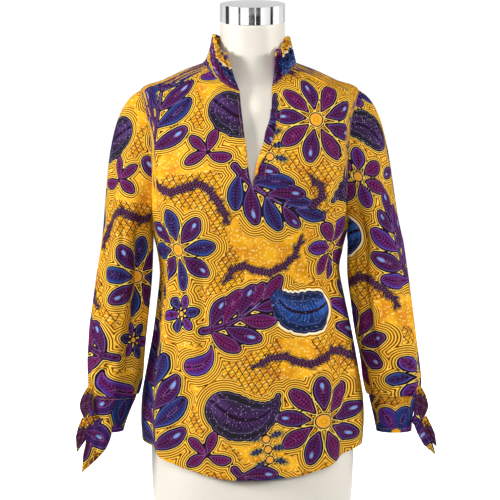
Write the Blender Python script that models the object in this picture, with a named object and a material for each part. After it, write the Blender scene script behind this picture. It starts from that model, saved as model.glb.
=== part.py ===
"""Long-sleeved popover blouse with a pleated stand collar and tied cuffs, on a limbless dress form.

Metres, +Z up. The blouse faces -Y and the wearer's left is +X. The origin is the centre of the
stand's underside, which rests on the floor. Each piece of cloth is a thin wall worked out from
rings round the body, stations down the sleeve and short tables of folds.
"""

import math
from collections import namedtuple

import bmesh
import bpy
import numpy as np
from mathutils import Vector

# Cloth
WALL = 0.0016
FINE_WALL = 0.0010
SEAM_GAP = 0.0008
TIE_THICKNESS = 0.0026

# Rings of the blouse, from the hem up to the neck seam. height is at the side seam, the ring
# rises or drops from there to the centre front and the centre back, and shift is how far the
# blouse hangs over to the wearer's left.
Ring = namedtuple("Ring", "height front_rise back_rise half_width front back squareness shift")
BLOUSE_RINGS = (
    Ring(0.313, -0.055, -0.053, 0.1935, 0.126, 0.128, 2.3, 0.000),
    Ring(0.345, -0.048, -0.045, 0.1960, 0.127, 0.129, 2.3, 0.000),
    Ring(0.390, -0.031, -0.029, 0.1940, 0.128, 0.128, 2.3, 0.000),
    Ring(0.440, -0.014, -0.013, 0.1855, 0.128, 0.124, 2.3, 0.000),
    Ring(0.500, -0.002, -0.002, 0.1745, 0.126, 0.116, 2.3, 0.000),
    Ring(0.550, 0.000, 0.000, 0.1660, 0.123, 0.108, 2.3, -0.002),
    Ring(0.610, 0.000, 0.000, 0.1570, 0.121, 0.101, 2.3, -0.005),
    Ring(0.650, 0.000, 0.000, 0.1610, 0.126, 0.102, 2.3, -0.005),
    Ring(0.690, 0.000, 0.000, 0.1710, 0.130, 0.107, 2.3, -0.005),
    Ring(0.750, 0.000, 0.000, 0.1790, 0.130, 0.113, 2.3, -0.005),
    Ring(0.810, 0.000, 0.000, 0.1830, 0.118, 0.116, 2.3, -0.005),
    Ring(0.870, -0.006, -0.001, 0.1870, 0.101, 0.111, 2.15, -0.005),
    Ring(0.928, -0.026, -0.008, 0.1900, 0.085, 0.099, 1.80, -0.005),
    Ring(0.942, -0.034, -0.006, 0.1500, 0.081, 0.087, 1.85, -0.005),
    Ring(0.957, -0.041, -0.005, 0.1150, 0.078, 0.077, 1.92, -0.005),
    Ring(0.970, -0.051, -0.005, 0.0805, 0.0755, 0.067, 2.0, -0.005),
)
UNDERARM = 8
SHOULDER_TIP = 12
NECK = 15
ARMHOLE_FRONT_DEG = 23.0
ARMHOLE_BACK_DEG = 22.0

# Soft drape folds of the body: angles in degrees from the centre front, positive to the
# wearer's left, at the low and the high end, and the fold's half width and height there.
Fold = namedtuple("Fold", "low_deg high_deg low high half_width_deg relief")
BODY_FOLDS = (
    Fold(-64, -76, 0.20, 0.66, 7.0, -0.0050),
    Fold(-47, -58, 0.20, 0.60, 7.0, 0.0035),
    Fold(-28, -36, 0.16, 0.50, 7.0, -0.0035),
    Fold(-8, -14, 0.16, 0.44, 7.5, 0.0030),
    Fold(14, 10, 0.16, 0.46, 7.0, -0.0030),
    Fold(34, 42, 0.16, 0.56, 7.0, 0.0035),
    Fold(52, 66, 0.20, 0.68, 6.5, -0.0060),
    Fold(70, 80, 0.22, 0.58, 6.0, 0.0020),
    Fold(-40, -18, 0.66, 0.80, 9.0, -0.0025),
    Fold(44, 24, 0.66, 0.78, 9.0, -0.0025),
    Fold(112, 106, 0.20, 0.64, 7.0, -0.0050),
    Fold(134, 128, 0.20, 0.58, 8.0, 0.0040),
    Fold(158, 164, 0.16, 0.66, 8.0, -0.0040),
    Fold(180, 178, 0.16, 0.56, 8.0, 0.0030),
    Fold(203, 198, 0.16, 0.68, 8.0, -0.0045),
    Fold(226, 232, 0.20, 0.58, 8.0, 0.0040),
    Fold(250, 256, 0.20, 0.66, 7.0, -0.0050),
)
FOLD_FADE = 0.09

# Front slit: the x of its two edges at each height, wearer's right and wearer's left.
Slit = namedtuple("Slit", "height right left")
SLIT = (
    Slit(0.761, 0.0000, 0.0000),
    Slit(0.776, -0.0044, 0.0036),
    Slit(0.799, -0.0079, 0.0076),
    Slit(0.815, -0.0095, 0.0124),
    Slit(0.831, -0.0112, 0.0183),
    Slit(0.855, -0.0148, 0.0235),
    Slit(0.875, -0.0172, 0.0305),
    Slit(0.890, -0.0190, 0.0322),
    Slit(0.922, -0.0223, 0.0330),
)

# Turned-out facing along the slit's left edge: its width at each height.
Facing = namedtuple("Facing", "height width")
FACING = (
    Facing(0.768, 0.0036),
    Facing(0.799, 0.0050),
    Facing(0.815, 0.0090),
    Facing(0.831, 0.0115),
    Facing(0.855, 0.0150),
    Facing(0.875, 0.0085),
    Facing(0.890, 0.0020),
)
FACING_LIFT = 0.0009
FACING_OVERHANG = 0.0012

# Stand collar: its height and how far its top leans out, by angle round the neck. The left
# front end is at the first angle, the centre back at 180 and the right front end at the last.
Collar = namedtuple("Collar", "angle_deg height lean")
COLLAR = (
    Collar(25.0, 0.054, 0.000),
    Collar(45.0, 0.051, -0.006),
    Collar(70.0, 0.045, -0.012),
    Collar(95.0, 0.042, -0.0145),
    Collar(140.0, 0.044, -0.010),
    Collar(180.0, 0.045, -0.008),
    Collar(220.0, 0.046, -0.009),
    Collar(265.0, 0.048, -0.014),
    Collar(300.0, 0.049, -0.008),
    Collar(325.0, 0.052, 0.004),
    Collar(343.0, 0.054, 0.010),
)
COLLAR_PLEATS = 24
PLEAT_AT_SEAM = 0.0008
PLEAT_AT_TOP = 0.0031
LEFT_END_SLANT_DEG = 3.0
RIGHT_END_SLANT_DEG = 17.0

# Sleeves, with x outwards on either side. The cap runs from the armhole to the first station;
# below it the stations are level ellipses.
Station = namedtuple("Station", "height x y half_width half_depth")
SLEEVE_STATIONS = {
    "left": (
        Station(0.6600, 0.2148, -0.004, 0.0490, 0.0560),
        Station(0.6000, 0.2192, -0.007, 0.0534, 0.0540),
        Station(0.5500, 0.2258, -0.010, 0.0538, 0.0520),
        Station(0.5000, 0.2325, -0.015, 0.0535, 0.0500),
        Station(0.4500, 0.2409, -0.021, 0.0512, 0.0470),
        Station(0.4200, 0.2442, -0.025, 0.0495, 0.0430),
        Station(0.3935, 0.2459, -0.028, 0.0435, 0.0360),
    ),
    "right": (
        Station(0.6600, 0.2180, -0.004, 0.0452, 0.0560),
        Station(0.6000, 0.2240, -0.007, 0.0490, 0.0540),
        Station(0.5500, 0.2297, -0.010, 0.0503, 0.0520),
        Station(0.5000, 0.2358, -0.015, 0.0511, 0.0500),
        Station(0.4500, 0.2395, -0.021, 0.0497, 0.0470),
        Station(0.4200, 0.2400, -0.025, 0.0462, 0.0430),
        Station(0.3935, 0.2420, -0.028, 0.0406, 0.0350),
    ),
}
CAP_LEAVE = {"left": 0.58, "right": 0.62}
CAP_ARRIVE = 1.00
SLEEVE_GATHERS = 8
GATHER_DEPTH = 0.0026
GATHER_REACH = 0.085

# Long soft folds down a sleeve: the angle round it (0 faces the body, 90 the front, 180 the
# outside), then heights, half width and height of the fold.
SLEEVE_FOLDS = {
    "left": (
        Fold(52, 60, 0.40, 0.86, 17.0, -0.0060),
        Fold(118, 104, 0.42, 0.74, 17.0, 0.0035),
        Fold(158, 140, 0.44, 0.66, 15.0, -0.0035),
        Fold(236, 250, 0.42, 0.82, 18.0, -0.0055),
        Fold(300, 306, 0.44, 0.72, 18.0, 0.0035),
    ),
    "right": (
        Fold(46, 58, 0.40, 0.88, 18.0, -0.0070),
        Fold(96, 112, 0.42, 0.70, 17.0, 0.0035),
        Fold(150, 134, 0.42, 0.78, 15.0, -0.0040),
        Fold(228, 242, 0.42, 0.84, 18.0, -0.0055),
        Fold(290, 300, 0.44, 0.70, 18.0, 0.0035),
    ),
}

# Cuff: level ellipses from its top to its lower edge.
CUFF_STATIONS = {
    "left": (
        Station(0.3922, 0.2459, -0.028, 0.0435, 0.0360),
        Station(0.3600, 0.2455, -0.031, 0.0354, 0.0315),
        Station(0.3300, 0.2470, -0.033, 0.0304, 0.0290),
    ),
    "right": (
        Station(0.3922, 0.2420, -0.028, 0.0406, 0.0350),
        Station(0.3600, 0.2495, -0.031, 0.0342, 0.0310),
        Station(0.3300, 0.2560, -0.033, 0.0302, 0.0290),
    ),
}

# Ties at the outer side of each cuff, given with x positive outwards. Each row is a point on
# the strap's centre line, the strap's width there and the way it faces, in degrees from the
# front towards the outer side.
StrapPoint = namedtuple("StrapPoint", "x y z width facing_deg")
KNOT_SIZE = Vector((0.0095, 0.0080, 0.0085))
KNOT_CENTRES = {"left": Vector((0.2865, -0.0458, 0.3500)), "right": Vector((0.2782, -0.0617, 0.3500))}
TIES = {
    "tie_bow_left": (
        StrapPoint(0.2925, -0.0360, 0.4090, 0.004, 30),
        StrapPoint(0.2970, -0.0380, 0.3920, 0.014, 30),
        StrapPoint(0.3005, -0.0410, 0.3735, 0.020, 25),
        StrapPoint(0.2945, -0.0450, 0.3562, 0.012, 25),
    ),
    "tie_front_left": (
        StrapPoint(0.2855, -0.0555, 0.3490, 0.015, 12),
        StrapPoint(0.2950, -0.0570, 0.3280, 0.021, 14),
        StrapPoint(0.3060, -0.0560, 0.3110, 0.018, 16),
        StrapPoint(0.3180, -0.0530, 0.2910, 0.003, 20),
    ),
    "tie_back_left": (
        StrapPoint(0.3006, -0.0440, 0.3510, 0.009, 30),
        StrapPoint(0.3060, -0.0445, 0.3350, 0.018, 30),
        StrapPoint(0.3135, -0.0440, 0.3200, 0.015, 30),
        StrapPoint(0.3208, -0.0430, 0.3030, 0.003, 30),
    ),
    "tie_bow_right": (
        StrapPoint(0.2825, -0.0480, 0.4120, 0.004, 35),
        StrapPoint(0.2875, -0.0500, 0.3950, 0.013, 30),
        StrapPoint(0.2910, -0.0540, 0.3760, 0.022, 25),
        StrapPoint(0.2850, -0.0600, 0.3570, 0.015, 20),
    ),
    "tie_front_right": (
        StrapPoint(0.2730, -0.0710, 0.3495, 0.020, 5),
        StrapPoint(0.2680, -0.0730, 0.3310, 0.037, 8),
        StrapPoint(0.2780, -0.0700, 0.3020, 0.035, 10),
        StrapPoint(0.2965, -0.0650, 0.2620, 0.003, 12),
    ),
    "tie_back_right": (
        StrapPoint(0.2923, -0.0600, 0.3495, 0.009, 25),
        StrapPoint(0.2955, -0.0590, 0.3340, 0.018, 25),
        StrapPoint(0.3000, -0.0570, 0.3160, 0.017, 25),
        StrapPoint(0.3050, -0.0550, 0.2960, 0.003, 25),
    ),
}

# Dress form, from its flat bottom up to the seat of the neck cap.
FORM_RINGS = (
    Ring(0.1350, 0.000, 0.000, 0.1600, 0.0980, 0.1100, 2.2, 0.0),
    Ring(0.1420, 0.000, 0.000, 0.1680, 0.1050, 0.1170, 2.2, 0.0),
    Ring(0.1700, 0.000, 0.000, 0.1730, 0.1090, 0.1200, 2.2, 0.0),
    Ring(0.2500, 0.000, 0.000, 0.1790, 0.1110, 0.1220, 2.2, 0.0),
    Ring(0.3300, 0.000, 0.000, 0.1795, 0.1110, 0.1200, 2.2, 0.0),
    Ring(0.4200, 0.000, 0.000, 0.1670, 0.1080, 0.1080, 2.2, 0.0),
    Ring(0.5200, 0.000, 0.000, 0.1380, 0.0980, 0.0900, 2.1, 0.0),
    Ring(0.6000, 0.000, 0.000, 0.1260, 0.0940, 0.0800, 2.1, 0.0),
    Ring(0.6600, 0.000, 0.000, 0.1350, 0.1070, 0.0860, 2.2, 0.0),
    Ring(0.7100, 0.000, 0.000, 0.1480, 0.1190, 0.0950, 2.3, 0.0),
    Ring(0.7600, 0.000, 0.000, 0.1560, 0.1170, 0.1020, 2.3, 0.0),
    Ring(0.8200, 0.000, 0.000, 0.1620, 0.1040, 0.1050, 2.3, 0.0),
    Ring(0.8700, -0.006, -0.001, 0.1690, 0.0890, 0.1000, 2.15, 0.0),
    Ring(0.9232, -0.026, -0.008, 0.1710, 0.0760, 0.0880, 1.80, 0.0),
    Ring(0.9397, -0.034, -0.006, 0.1450, 0.0720, 0.0780, 1.85, 0.0),
    Ring(0.9532, -0.041, -0.005, 0.1100, 0.0680, 0.0680, 1.92, 0.0),
    Ring(0.9655, -0.042, -0.004, 0.0760, 0.0610, 0.0590, 2.0, 0.0),
    Ring(0.9780, -0.024, -0.001, 0.0610, 0.0590, 0.0550, 2.0, 0.0),
    Ring(1.0050, -0.008, 0.003, 0.0565, 0.0620, 0.0500, 2.0, 0.0),
    Ring(1.0420, 0.000, 0.000, 0.0560, 0.0665, 0.0455, 2.0, 0.0),
)
NECK_TILT_DEG = 8.0
CAP_RADIUS = 0.0565
CAP_HEIGHT = 0.031
CAP_EDGE = 0.0025
POLE_RADIUS = 0.0125
BASE_RADIUS = 0.150
BASE_THICKNESS = 0.008
BASE_EDGE = 0.0020
FACE_GAP = 0.0003

# How finely each piece is cut. The sleeve shares the armhole's rows.
BODY_COLUMNS = 11
LOWER_ROWS = 11
ARMHOLE_ROWS = 16
SHOULDER_ROWS = 3
CAP_ROWS = 7
SLEEVE_ROWS = 11
PLEAT_POINTS = 6
COLLAR_ROWS = 3
STRAP_SECTIONS = 7
FORM_SEGMENTS = 32
ROUND_SEGMENTS = 40

# Colours as linear red, green and blue, then metallic and roughness.
Finish = namedtuple("Finish", "colour metallic roughness")
FINISHES = {
    "printed cotton": Finish((0.72, 0.36, 0.03), 0.0, 0.75),
    "purple printed cotton": Finish((0.09, 0.02, 0.14), 0.0, 0.75),
    "off-white form": Finish((0.80, 0.77, 0.70), 0.0, 0.35),
    "chrome": Finish((0.62, 0.62, 0.63), 1.0, 0.08),
    "steel": Finish((0.50, 0.50, 0.52), 1.0, 0.25),
}


def clear_scene():
    for obj in list(bpy.data.objects):
        bpy.data.objects.remove(obj)


def material_for(finish_name):
    found = bpy.data.materials.get(finish_name)
    if found:
        return found
    finish = FINISHES[finish_name]
    made = bpy.data.materials.new(finish_name)
    made.use_nodes = True
    shader = made.node_tree.nodes["Principled BSDF"]
    shader.inputs["Base Color"].default_value = (*finish.colour, 1.0)
    shader.inputs["Metallic"].default_value = finish.metallic
    shader.inputs["Roughness"].default_value = finish.roughness
    return made


def smooth_at(places, values, place):
    """A smooth curve through a table's values, read at a place or an array of places."""
    places, values = np.asarray(places, float), np.asarray(values, float)
    place = np.clip(place, places[0], places[-1])
    slopes = np.gradient(values, places)
    i = np.clip(np.searchsorted(places, place, side="right") - 1, 0, len(places) - 2)
    step = places[i + 1] - places[i]
    t = (place - places[i]) / step
    rise = values[i] * (1 - t) ** 2 * (1 + 2 * t) + values[i + 1] * t**2 * (3 - 2 * t)
    bend = slopes[i] * t * (1 - t) ** 2 - slopes[i + 1] * t**2 * (1 - t)
    return rise + bend * step


def column(table, name):
    return [getattr(row, name) for row in table]


def along(table, key, name, place):
    """A table's column read at a place along its key column."""
    return smooth_at(column(table, key), column(table, name), place)


def ease(t):
    t = np.clip(t, 0.0, 1.0)
    return t * t * (3 - 2 * t)


def ring_values(rings, level):
    """The ring at a level, which may lie between two rows of the table."""
    levels = range(len(rings))
    return Ring(*(smooth_at(levels, column(rings, name), level) for name in Ring._fields))


def ring_point(rings, angle_deg, level, relief=0.0):
    """A point on a ring. Angle 0 is the centre front, 90 the wearer's left, 180 the back."""
    ring = ring_values(rings, level)
    angle = math.radians(angle_deg)
    across, ahead = math.sin(angle), math.cos(angle)
    power = 2 / ring.squareness
    depth, rise = (ring.front, ring.front_rise) if ahead > 0 else (ring.back, ring.back_rise)
    x = math.copysign(abs(across) ** power, across) * ring.half_width + ring.shift
    y = -math.copysign(abs(ahead) ** power, ahead) * depth
    return np.array((x + relief * across, y - relief * ahead, ring.height + rise * ahead**2))


def fold_relief(folds, angle_deg, height):
    """How far the folds lift or sink the cloth at an angle and a height."""
    total = 0.0
    for fold in folds:
        share = (height - fold.low) / (fold.high - fold.low)
        middle = fold.low_deg + (fold.high_deg - fold.low_deg) * min(max(share, 0.0), 1.0)
        away = (angle_deg - middle + 180.0) % 360.0 - 180.0
        reach = ease((fold.high - height) / FOLD_FADE) * ease((height - fold.low) / FOLD_FADE)
        total += fold.relief * math.exp(-((away / fold.half_width_deg) ** 2)) * reach
    return total


def blouse_point(angle_deg, level):
    flat = ring_point(BLOUSE_RINGS, angle_deg, level)
    relief = fold_relief(BODY_FOLDS, angle_deg, flat[2])
    return ring_point(BLOUSE_RINGS, angle_deg, level, relief)


def angle_of_x(x, level):
    """The angle on the front at which a blouse ring has this x."""
    ring = ring_values(BLOUSE_RINGS, level)
    across = x - ring.shift
    angle = math.degrees(math.asin((abs(across) / ring.half_width) ** (ring.squareness / 2)))
    return math.copysign(angle, across)


def slit_angle(level, edge):
    """The angle of a slit edge on the ring at a level. Both edges share it below the slit."""
    height = ring_point(BLOUSE_RINGS, 0.0, level)[2]
    return angle_of_x(float(along(SLIT, "height", edge, height)), level)


def armhole_turn(share):
    """How far round the armhole's side a row lies: 0 at the underarm, 1 at the shoulder tip."""
    return 0.5 - 0.5 * math.cos(math.pi * share)


def armhole_level(share):
    return UNDERARM + (SHOULDER_TIP - UNDERARM) * armhole_turn(share)


def armhole_angle(share, reach_deg):
    return reach_deg * max(math.sin(math.pi * share), 0.0) ** 0.9


def body_rows(slit):
    """The level of each row of a body panel and how far its outer edge keeps from the side."""
    lower = [(UNDERARM * i / LOWER_ROWS, None) for i in range(LOWER_ROWS)]
    middle = [(armhole_level(i / ARMHOLE_ROWS), i / ARMHOLE_ROWS) for i in range(ARMHOLE_ROWS + 1)]
    span = NECK - SHOULDER_TIP
    upper = [(SHOULDER_TIP + span * (i + 1) / SHOULDER_ROWS, None) for i in range(SHOULDER_ROWS)]
    rows = lower + middle + upper
    if not slit:
        return rows
    levels = [level for level, _ in rows]
    heights = [ring_point(BLOUSE_RINGS, 0.0, level)[2] for level in levels]
    slit_level = float(np.interp(SLIT[0].height, heights, levels))
    nearest = int(np.argmin(np.abs(np.array(levels) - slit_level)))
    share = math.acos(1 - 2 * (slit_level - UNDERARM) / (SHOULDER_TIP - UNDERARM)) / math.pi
    if rows[nearest][0] < slit_level:
        nearest += 1
    rows.insert(nearest, (slit_level, share))
    return rows


def surface_from_rows(bm, rows, flip, closed=False):
    """Adds a grid of points to bm as quads. closed joins each row's end to its start."""
    made = [[bm.verts.new(point) for point in row] for row in rows]
    for low, high in zip(made, made[1:]):
        pairs = list(zip(low, low[1:], high[1:], high))
        if closed:
            pairs.append((low[-1], low[0], high[0], high[-1]))
        for face in pairs:
            bm.faces.new(face[::-1] if flip else face)
    return made


def new_object(name, bm, finish_name):
    mesh = bpy.data.meshes.new(name)
    bm.to_mesh(mesh)
    bm.free()
    mesh.materials.append(material_for(finish_name))
    mesh.shade_smooth()
    obj = bpy.data.objects.new(name, mesh)
    bpy.context.collection.objects.link(obj)
    return obj


def give_wall(obj, thickness, outwards=False):
    """Makes a surface a closed wall: inwards from its points, or outwards for what lies on top."""
    solidify = obj.modifiers.new("Wall", "SOLIDIFY")
    solidify.thickness = thickness
    solidify.offset = 1.0 if outwards else -1.0
    solidify.use_even_offset = False
    return obj


def make_front():
    """Front panel: one piece, slit at the centre front down to the bust."""
    bm = bmesh.new()
    rows = body_rows(slit=True)
    for sign, edge in ((1, "left"), (-1, "right")):
        points = []
        for level, share in rows:
            outer = 90.0 if share is None else 90.0 - armhole_angle(share, ARMHOLE_FRONT_DEG)
            inner = slit_angle(level, edge)
            row = []
            for i in range(BODY_COLUMNS + 1):
                angle = inner + (sign * outer - inner) * i / BODY_COLUMNS
                row.append(blouse_point(angle, level) + (0.0, -SEAM_GAP / 2, 0.0))
            points.append(row)
        surface_from_rows(bm, points, flip=sign < 0)
    bmesh.ops.remove_doubles(bm, verts=bm.verts, dist=1e-5)
    give_wall(new_object("front", bm, "printed cotton"), WALL)


def make_back():
    """Back panel: one piece from side seam to side seam."""
    bm = bmesh.new()
    points = []
    for level, share in body_rows(slit=False):
        inset = 0.0 if share is None else armhole_angle(share, ARMHOLE_BACK_DEG)
        start, end = 90.0 + inset, 270.0 - inset
        row = []
        for i in range(2 * BODY_COLUMNS + 1):
            angle = start + (end - start) * i / (2 * BODY_COLUMNS)
            row.append(blouse_point(angle, level) + (0.0, SEAM_GAP / 2, 0.0))
        points.append(row)
    surface_from_rows(bm, points, flip=False)
    give_wall(new_object("back", bm, "printed cotton"), WALL)


def make_facing():
    """Narrow facing of the neck slit, turned out over the front along its left edge."""
    bm = bmesh.new()
    points = []
    low, high = FACING[0].height, FACING[-1].height
    for level, _ in body_rows(slit=True):
        height = ring_point(BLOUSE_RINGS, 0.0, level)[2]
        if not low <= height <= high:
            continue
        edge_x = float(along(SLIT, "height", "left", height))
        width = float(along(FACING, "height", "width", height))
        row = []
        for x in np.linspace(edge_x - FACING_OVERHANG, edge_x + width, 4):
            point = blouse_point(angle_of_x(x, level), level)
            point[1] -= FACING_LIFT + SEAM_GAP / 2
            row.append(point)
        points.append(row)
    surface_from_rows(bm, points, flip=False)
    give_wall(new_object("neck_facing", bm, "printed cotton"), FINE_WALL, outwards=True)


def collar_angle_range():
    """The angles of the collar's two front ends, left and right, from the slit's edges."""
    left = slit_angle(NECK, "left")
    right = 360.0 + slit_angle(NECK, "right")
    return left, right


def collar_point(turn, share):
    """A point of the collar at a share of the way round the neck and a share of its height."""
    left, right = collar_angle_range()
    slant = LEFT_END_SLANT_DEG * (1 - turn) ** 6 - RIGHT_END_SLANT_DEG * turn**6
    angle_deg = left + (right - left) * turn + slant * share
    base = ring_point(BLOUSE_RINGS, angle_deg, NECK)
    height = float(along(COLLAR, "angle_deg", "height", angle_deg))
    lean = float(along(COLLAR, "angle_deg", "lean", angle_deg))
    phase = 2 * math.pi * COLLAR_PLEATS * turn
    depth = PLEAT_AT_SEAM + (PLEAT_AT_TOP - PLEAT_AT_SEAM) * share**0.8
    pleat = depth * (math.sin(phase) + 0.25 * math.sin(2 * phase))
    out = lean * share**1.2 + pleat
    angle = math.radians(angle_deg)
    return base + np.array((out * math.sin(angle), -out * math.cos(angle), SEAM_GAP + height * share))


def make_collar():
    """Pleated stand collar: one band from one side of the slit round the neck to the other."""
    bm = bmesh.new()
    turns = np.linspace(0, 1, COLLAR_PLEATS * PLEAT_POINTS + 1)
    shares = [i / COLLAR_ROWS for i in range(COLLAR_ROWS + 1)]
    points = [[collar_point(turn, share) for turn in turns] for share in shares]
    surface_from_rows(bm, points, flip=False)
    give_wall(new_object("collar", bm, "printed cotton"), FINE_WALL)


def armhole_loop(side):
    """Points round an armhole with the angle of each: 0 underarm, 90 front, 180 tip. x is outwards."""
    sign = 1 if side == "left" else -1
    loop = []
    for i in range(2 * ARMHOLE_ROWS):
        front = i <= ARMHOLE_ROWS
        share = (i if front else 2 * ARMHOLE_ROWS - i) / ARMHOLE_ROWS
        reach = armhole_angle(share, ARMHOLE_FRONT_DEG if front else -ARMHOLE_BACK_DEG)
        point = blouse_point(sign * (90.0 - reach), armhole_level(share))
        loop.append((point * (sign, 1, 1), 180.0 * i / ARMHOLE_ROWS))
    return loop


def cap_direction(turn_deg):
    """The way the sleeve leaves the armhole: out over the shoulder, down at the underarm."""
    turn = math.radians(turn_deg)
    up, ahead = (1 - math.cos(turn)) / 2, math.sin(turn)
    direction = Vector((0.40 + 0.55 * up, -0.22 * ahead, -0.90 + 0.48 * up))
    return np.array(direction.normalized())


def ellipse_point(station, turn_deg, swell=0.0):
    """A point round a sleeve or cuff: 0 faces the body, 90 the front, 180 the outside."""
    turn = math.radians(turn_deg)
    x = station.x - (station.half_width + swell) * math.cos(turn)
    y = station.y - (station.half_depth + swell) * math.sin(turn)
    return np.array((x, y, station.height))


def sleeve_relief(side, turn_deg, height):
    """Long folds of the sleeve, and the gathers that grow towards the cuff."""
    share = ease((SLEEVE_STATIONS[side][-1].height + GATHER_REACH - height) / GATHER_REACH)
    gather = GATHER_DEPTH * share * math.cos(math.radians(SLEEVE_GATHERS * turn_deg))
    return fold_relief(SLEEVE_FOLDS[side], turn_deg, height) + gather


def station_at(stations, height):
    """The station at a height, which may lie between two rows of the table."""
    rising = stations[::-1]
    return Station(height, *(float(along(rising, "height", name, height)) for name in Station._fields[1:]))


def sleeve_rows(side):
    """Every row of a sleeve's outer points, from the armhole to the cuff. x is outwards."""
    top = SLEEVE_STATIONS[side][0]
    downwards = np.array((0.09, -0.03, -1.0))
    rows = []
    for r in range(CAP_ROWS + 1):
        t = r / CAP_ROWS
        row = []
        for start, turn in armhole_loop(side):
            start = start + SEAM_GAP * cap_direction(turn)
            relief = sleeve_relief(side, turn, top.height)
            end = ellipse_point(top, turn, relief)
            span = np.linalg.norm(end - start)
            leave = CAP_LEAVE[side] * span * cap_direction(turn)
            arrive = CAP_ARRIVE * span * downwards
            point = (
                start * (1 - t) ** 2 * (1 + 2 * t)
                + end * t**2 * (3 - 2 * t)
                + leave * t * (1 - t) ** 2
                - arrive * t**2 * (1 - t)
            )
            row.append(point)
        rows.append(row)
    low = SLEEVE_STATIONS[side][-1].height
    for r in range(1, SLEEVE_ROWS + 1):
        height = top.height + (low - top.height) * r / SLEEVE_ROWS
        station = station_at(SLEEVE_STATIONS[side], height)
        turns = [180.0 * i / ARMHOLE_ROWS for i in range(2 * ARMHOLE_ROWS)]
        rows.append([ellipse_point(station, turn, sleeve_relief(side, turn, height)) for turn in turns])
    return rows


def mirrored(rows, side):
    sign = 1 if side == "left" else -1
    return [[point * (sign, 1, 1) for point in row] for row in rows]


def make_sleeve(side):
    """Set-in sleeve: a tube from the armhole to the cuff, gathered at its lower end."""
    bm = bmesh.new()
    surface_from_rows(bm, mirrored(sleeve_rows(side), side), flip=side == "left", closed=True)
    give_wall(new_object(f"sleeve_{side}", bm, "printed cotton"), WALL)


def make_cuff(side):
    """Band cuff: a tapering tube that the gathered sleeve is sewn into."""
    bm = bmesh.new()
    turns = [180.0 * i / ARMHOLE_ROWS for i in range(2 * ARMHOLE_ROWS)]
    stations = CUFF_STATIONS[side]
    rows = []
    for height in np.linspace(stations[0].height, stations[-1].height, len(stations)):
        station = station_at(stations, height)
        rows.append([ellipse_point(station, turn) for turn in turns])
    surface_from_rows(bm, mirrored(rows, side), flip=side == "left", closed=True)
    give_wall(new_object(f"cuff_{side}", bm, "purple printed cotton"), WALL)


def strap_rows(table):
    """Closed sections along a strap: six points round a flat band with thinned edges."""
    places = range(len(table))
    rows = []
    for place in np.linspace(0, len(table) - 1, STRAP_SECTIONS):
        x, y, z, width, facing = (
            float(smooth_at(places, column(table, name), place)) for name in StrapPoint._fields
        )
        centre = np.array((x, y, z))
        facing = math.radians(facing)
        outward = np.array((math.sin(facing), -math.cos(facing), 0.0))
        step = 0.05
        ahead, behind = min(place + step, len(table) - 1), max(place - step, 0)
        line = [smooth_at(places, column(table, name), ahead) - smooth_at(places, column(table, name), behind)
                for name in ("x", "y", "z")]
        across = np.cross(np.array(line, float), outward)
        across /= np.linalg.norm(across)
        outward = np.cross(across, np.array(line, float))
        outward /= np.linalg.norm(outward)
        half, thick, edge = width / 2, TIE_THICKNESS / 2, TIE_THICKNESS / 6
        sections = ((-half, -edge), (0, -thick), (half, -edge), (half, edge), (0, thick), (-half, edge))
        rows.append([centre + across * a + outward * b for a, b in sections])
    return rows


def closed_solid(name, rows, finish_name):
    """A solid lofted through closed rows of points and capped at both ends."""
    bm = bmesh.new()
    made = surface_from_rows(bm, rows, flip=False, closed=True)
    bm.faces.new(made[0][::-1])
    bm.faces.new(made[-1])
    bmesh.ops.recalc_face_normals(bm, faces=bm.faces)
    obj = new_object(name, bm, finish_name)
    obj.data.set_sharp_from_angle(angle=math.radians(40))
    return obj


def make_ties(side):
    """Knot, bow loop and two pointed ends of the tie at the outer side of a cuff."""
    sign = 1 if side == "left" else -1
    centre = KNOT_CENTRES[side]
    bpy.ops.mesh.primitive_uv_sphere_add(segments=12, ring_count=8, radius=1.0)
    knot = bpy.context.object
    knot.name = f"tie_knot_{side}"
    for vert in knot.data.vertices:
        vert.co = Vector((vert.co.x * KNOT_SIZE.x, vert.co.y * KNOT_SIZE.y, vert.co.z * KNOT_SIZE.z))
    knot.location = (sign * centre.x, centre.y, centre.z)
    knot.data.materials.append(material_for("purple printed cotton"))
    knot.data.shade_smooth()
    for name, table in TIES.items():
        if name.endswith(side):
            closed_solid(name, mirrored(strap_rows(table), side), "purple printed cotton")


def make_form():
    """Dress form: a smooth torso with a neck and no limbs, flat underneath."""
    levels = list(range(len(FORM_RINGS)))
    angles = [360.0 * i / FORM_SEGMENTS for i in range(FORM_SEGMENTS)]
    rows = [[ring_point(FORM_RINGS, angle, level) for angle in angles] for level in levels]
    tilt = math.tan(math.radians(NECK_TILT_DEG))
    for share, row in ((0.5, rows[-2]), (1.0, rows[-1])):
        for point in row:
            point[2] += point[1] * tilt * share
    closed_solid("form_torso", rows, "off-white form")


def make_round(name, radius, height, centre, finish_name, edge=0.0, tilt_deg=0.0):
    """An upright round piece. centre is the middle of its underside."""
    bpy.ops.mesh.primitive_cylinder_add(vertices=ROUND_SEGMENTS, radius=radius, depth=height)
    obj = bpy.context.object
    obj.name = name
    for vert in obj.data.vertices:
        vert.co.z += height / 2
    obj.location = centre
    obj.rotation_euler = (math.radians(tilt_deg), 0.0, 0.0)
    obj.data.materials.append(material_for(finish_name))
    obj.data.shade_smooth()
    obj.data.set_sharp_from_angle(angle=math.radians(40))
    if edge:
        bevel = obj.modifiers.new("Edge", "BEVEL")
        bevel.width = edge
        bevel.segments = 2
    return obj


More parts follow.
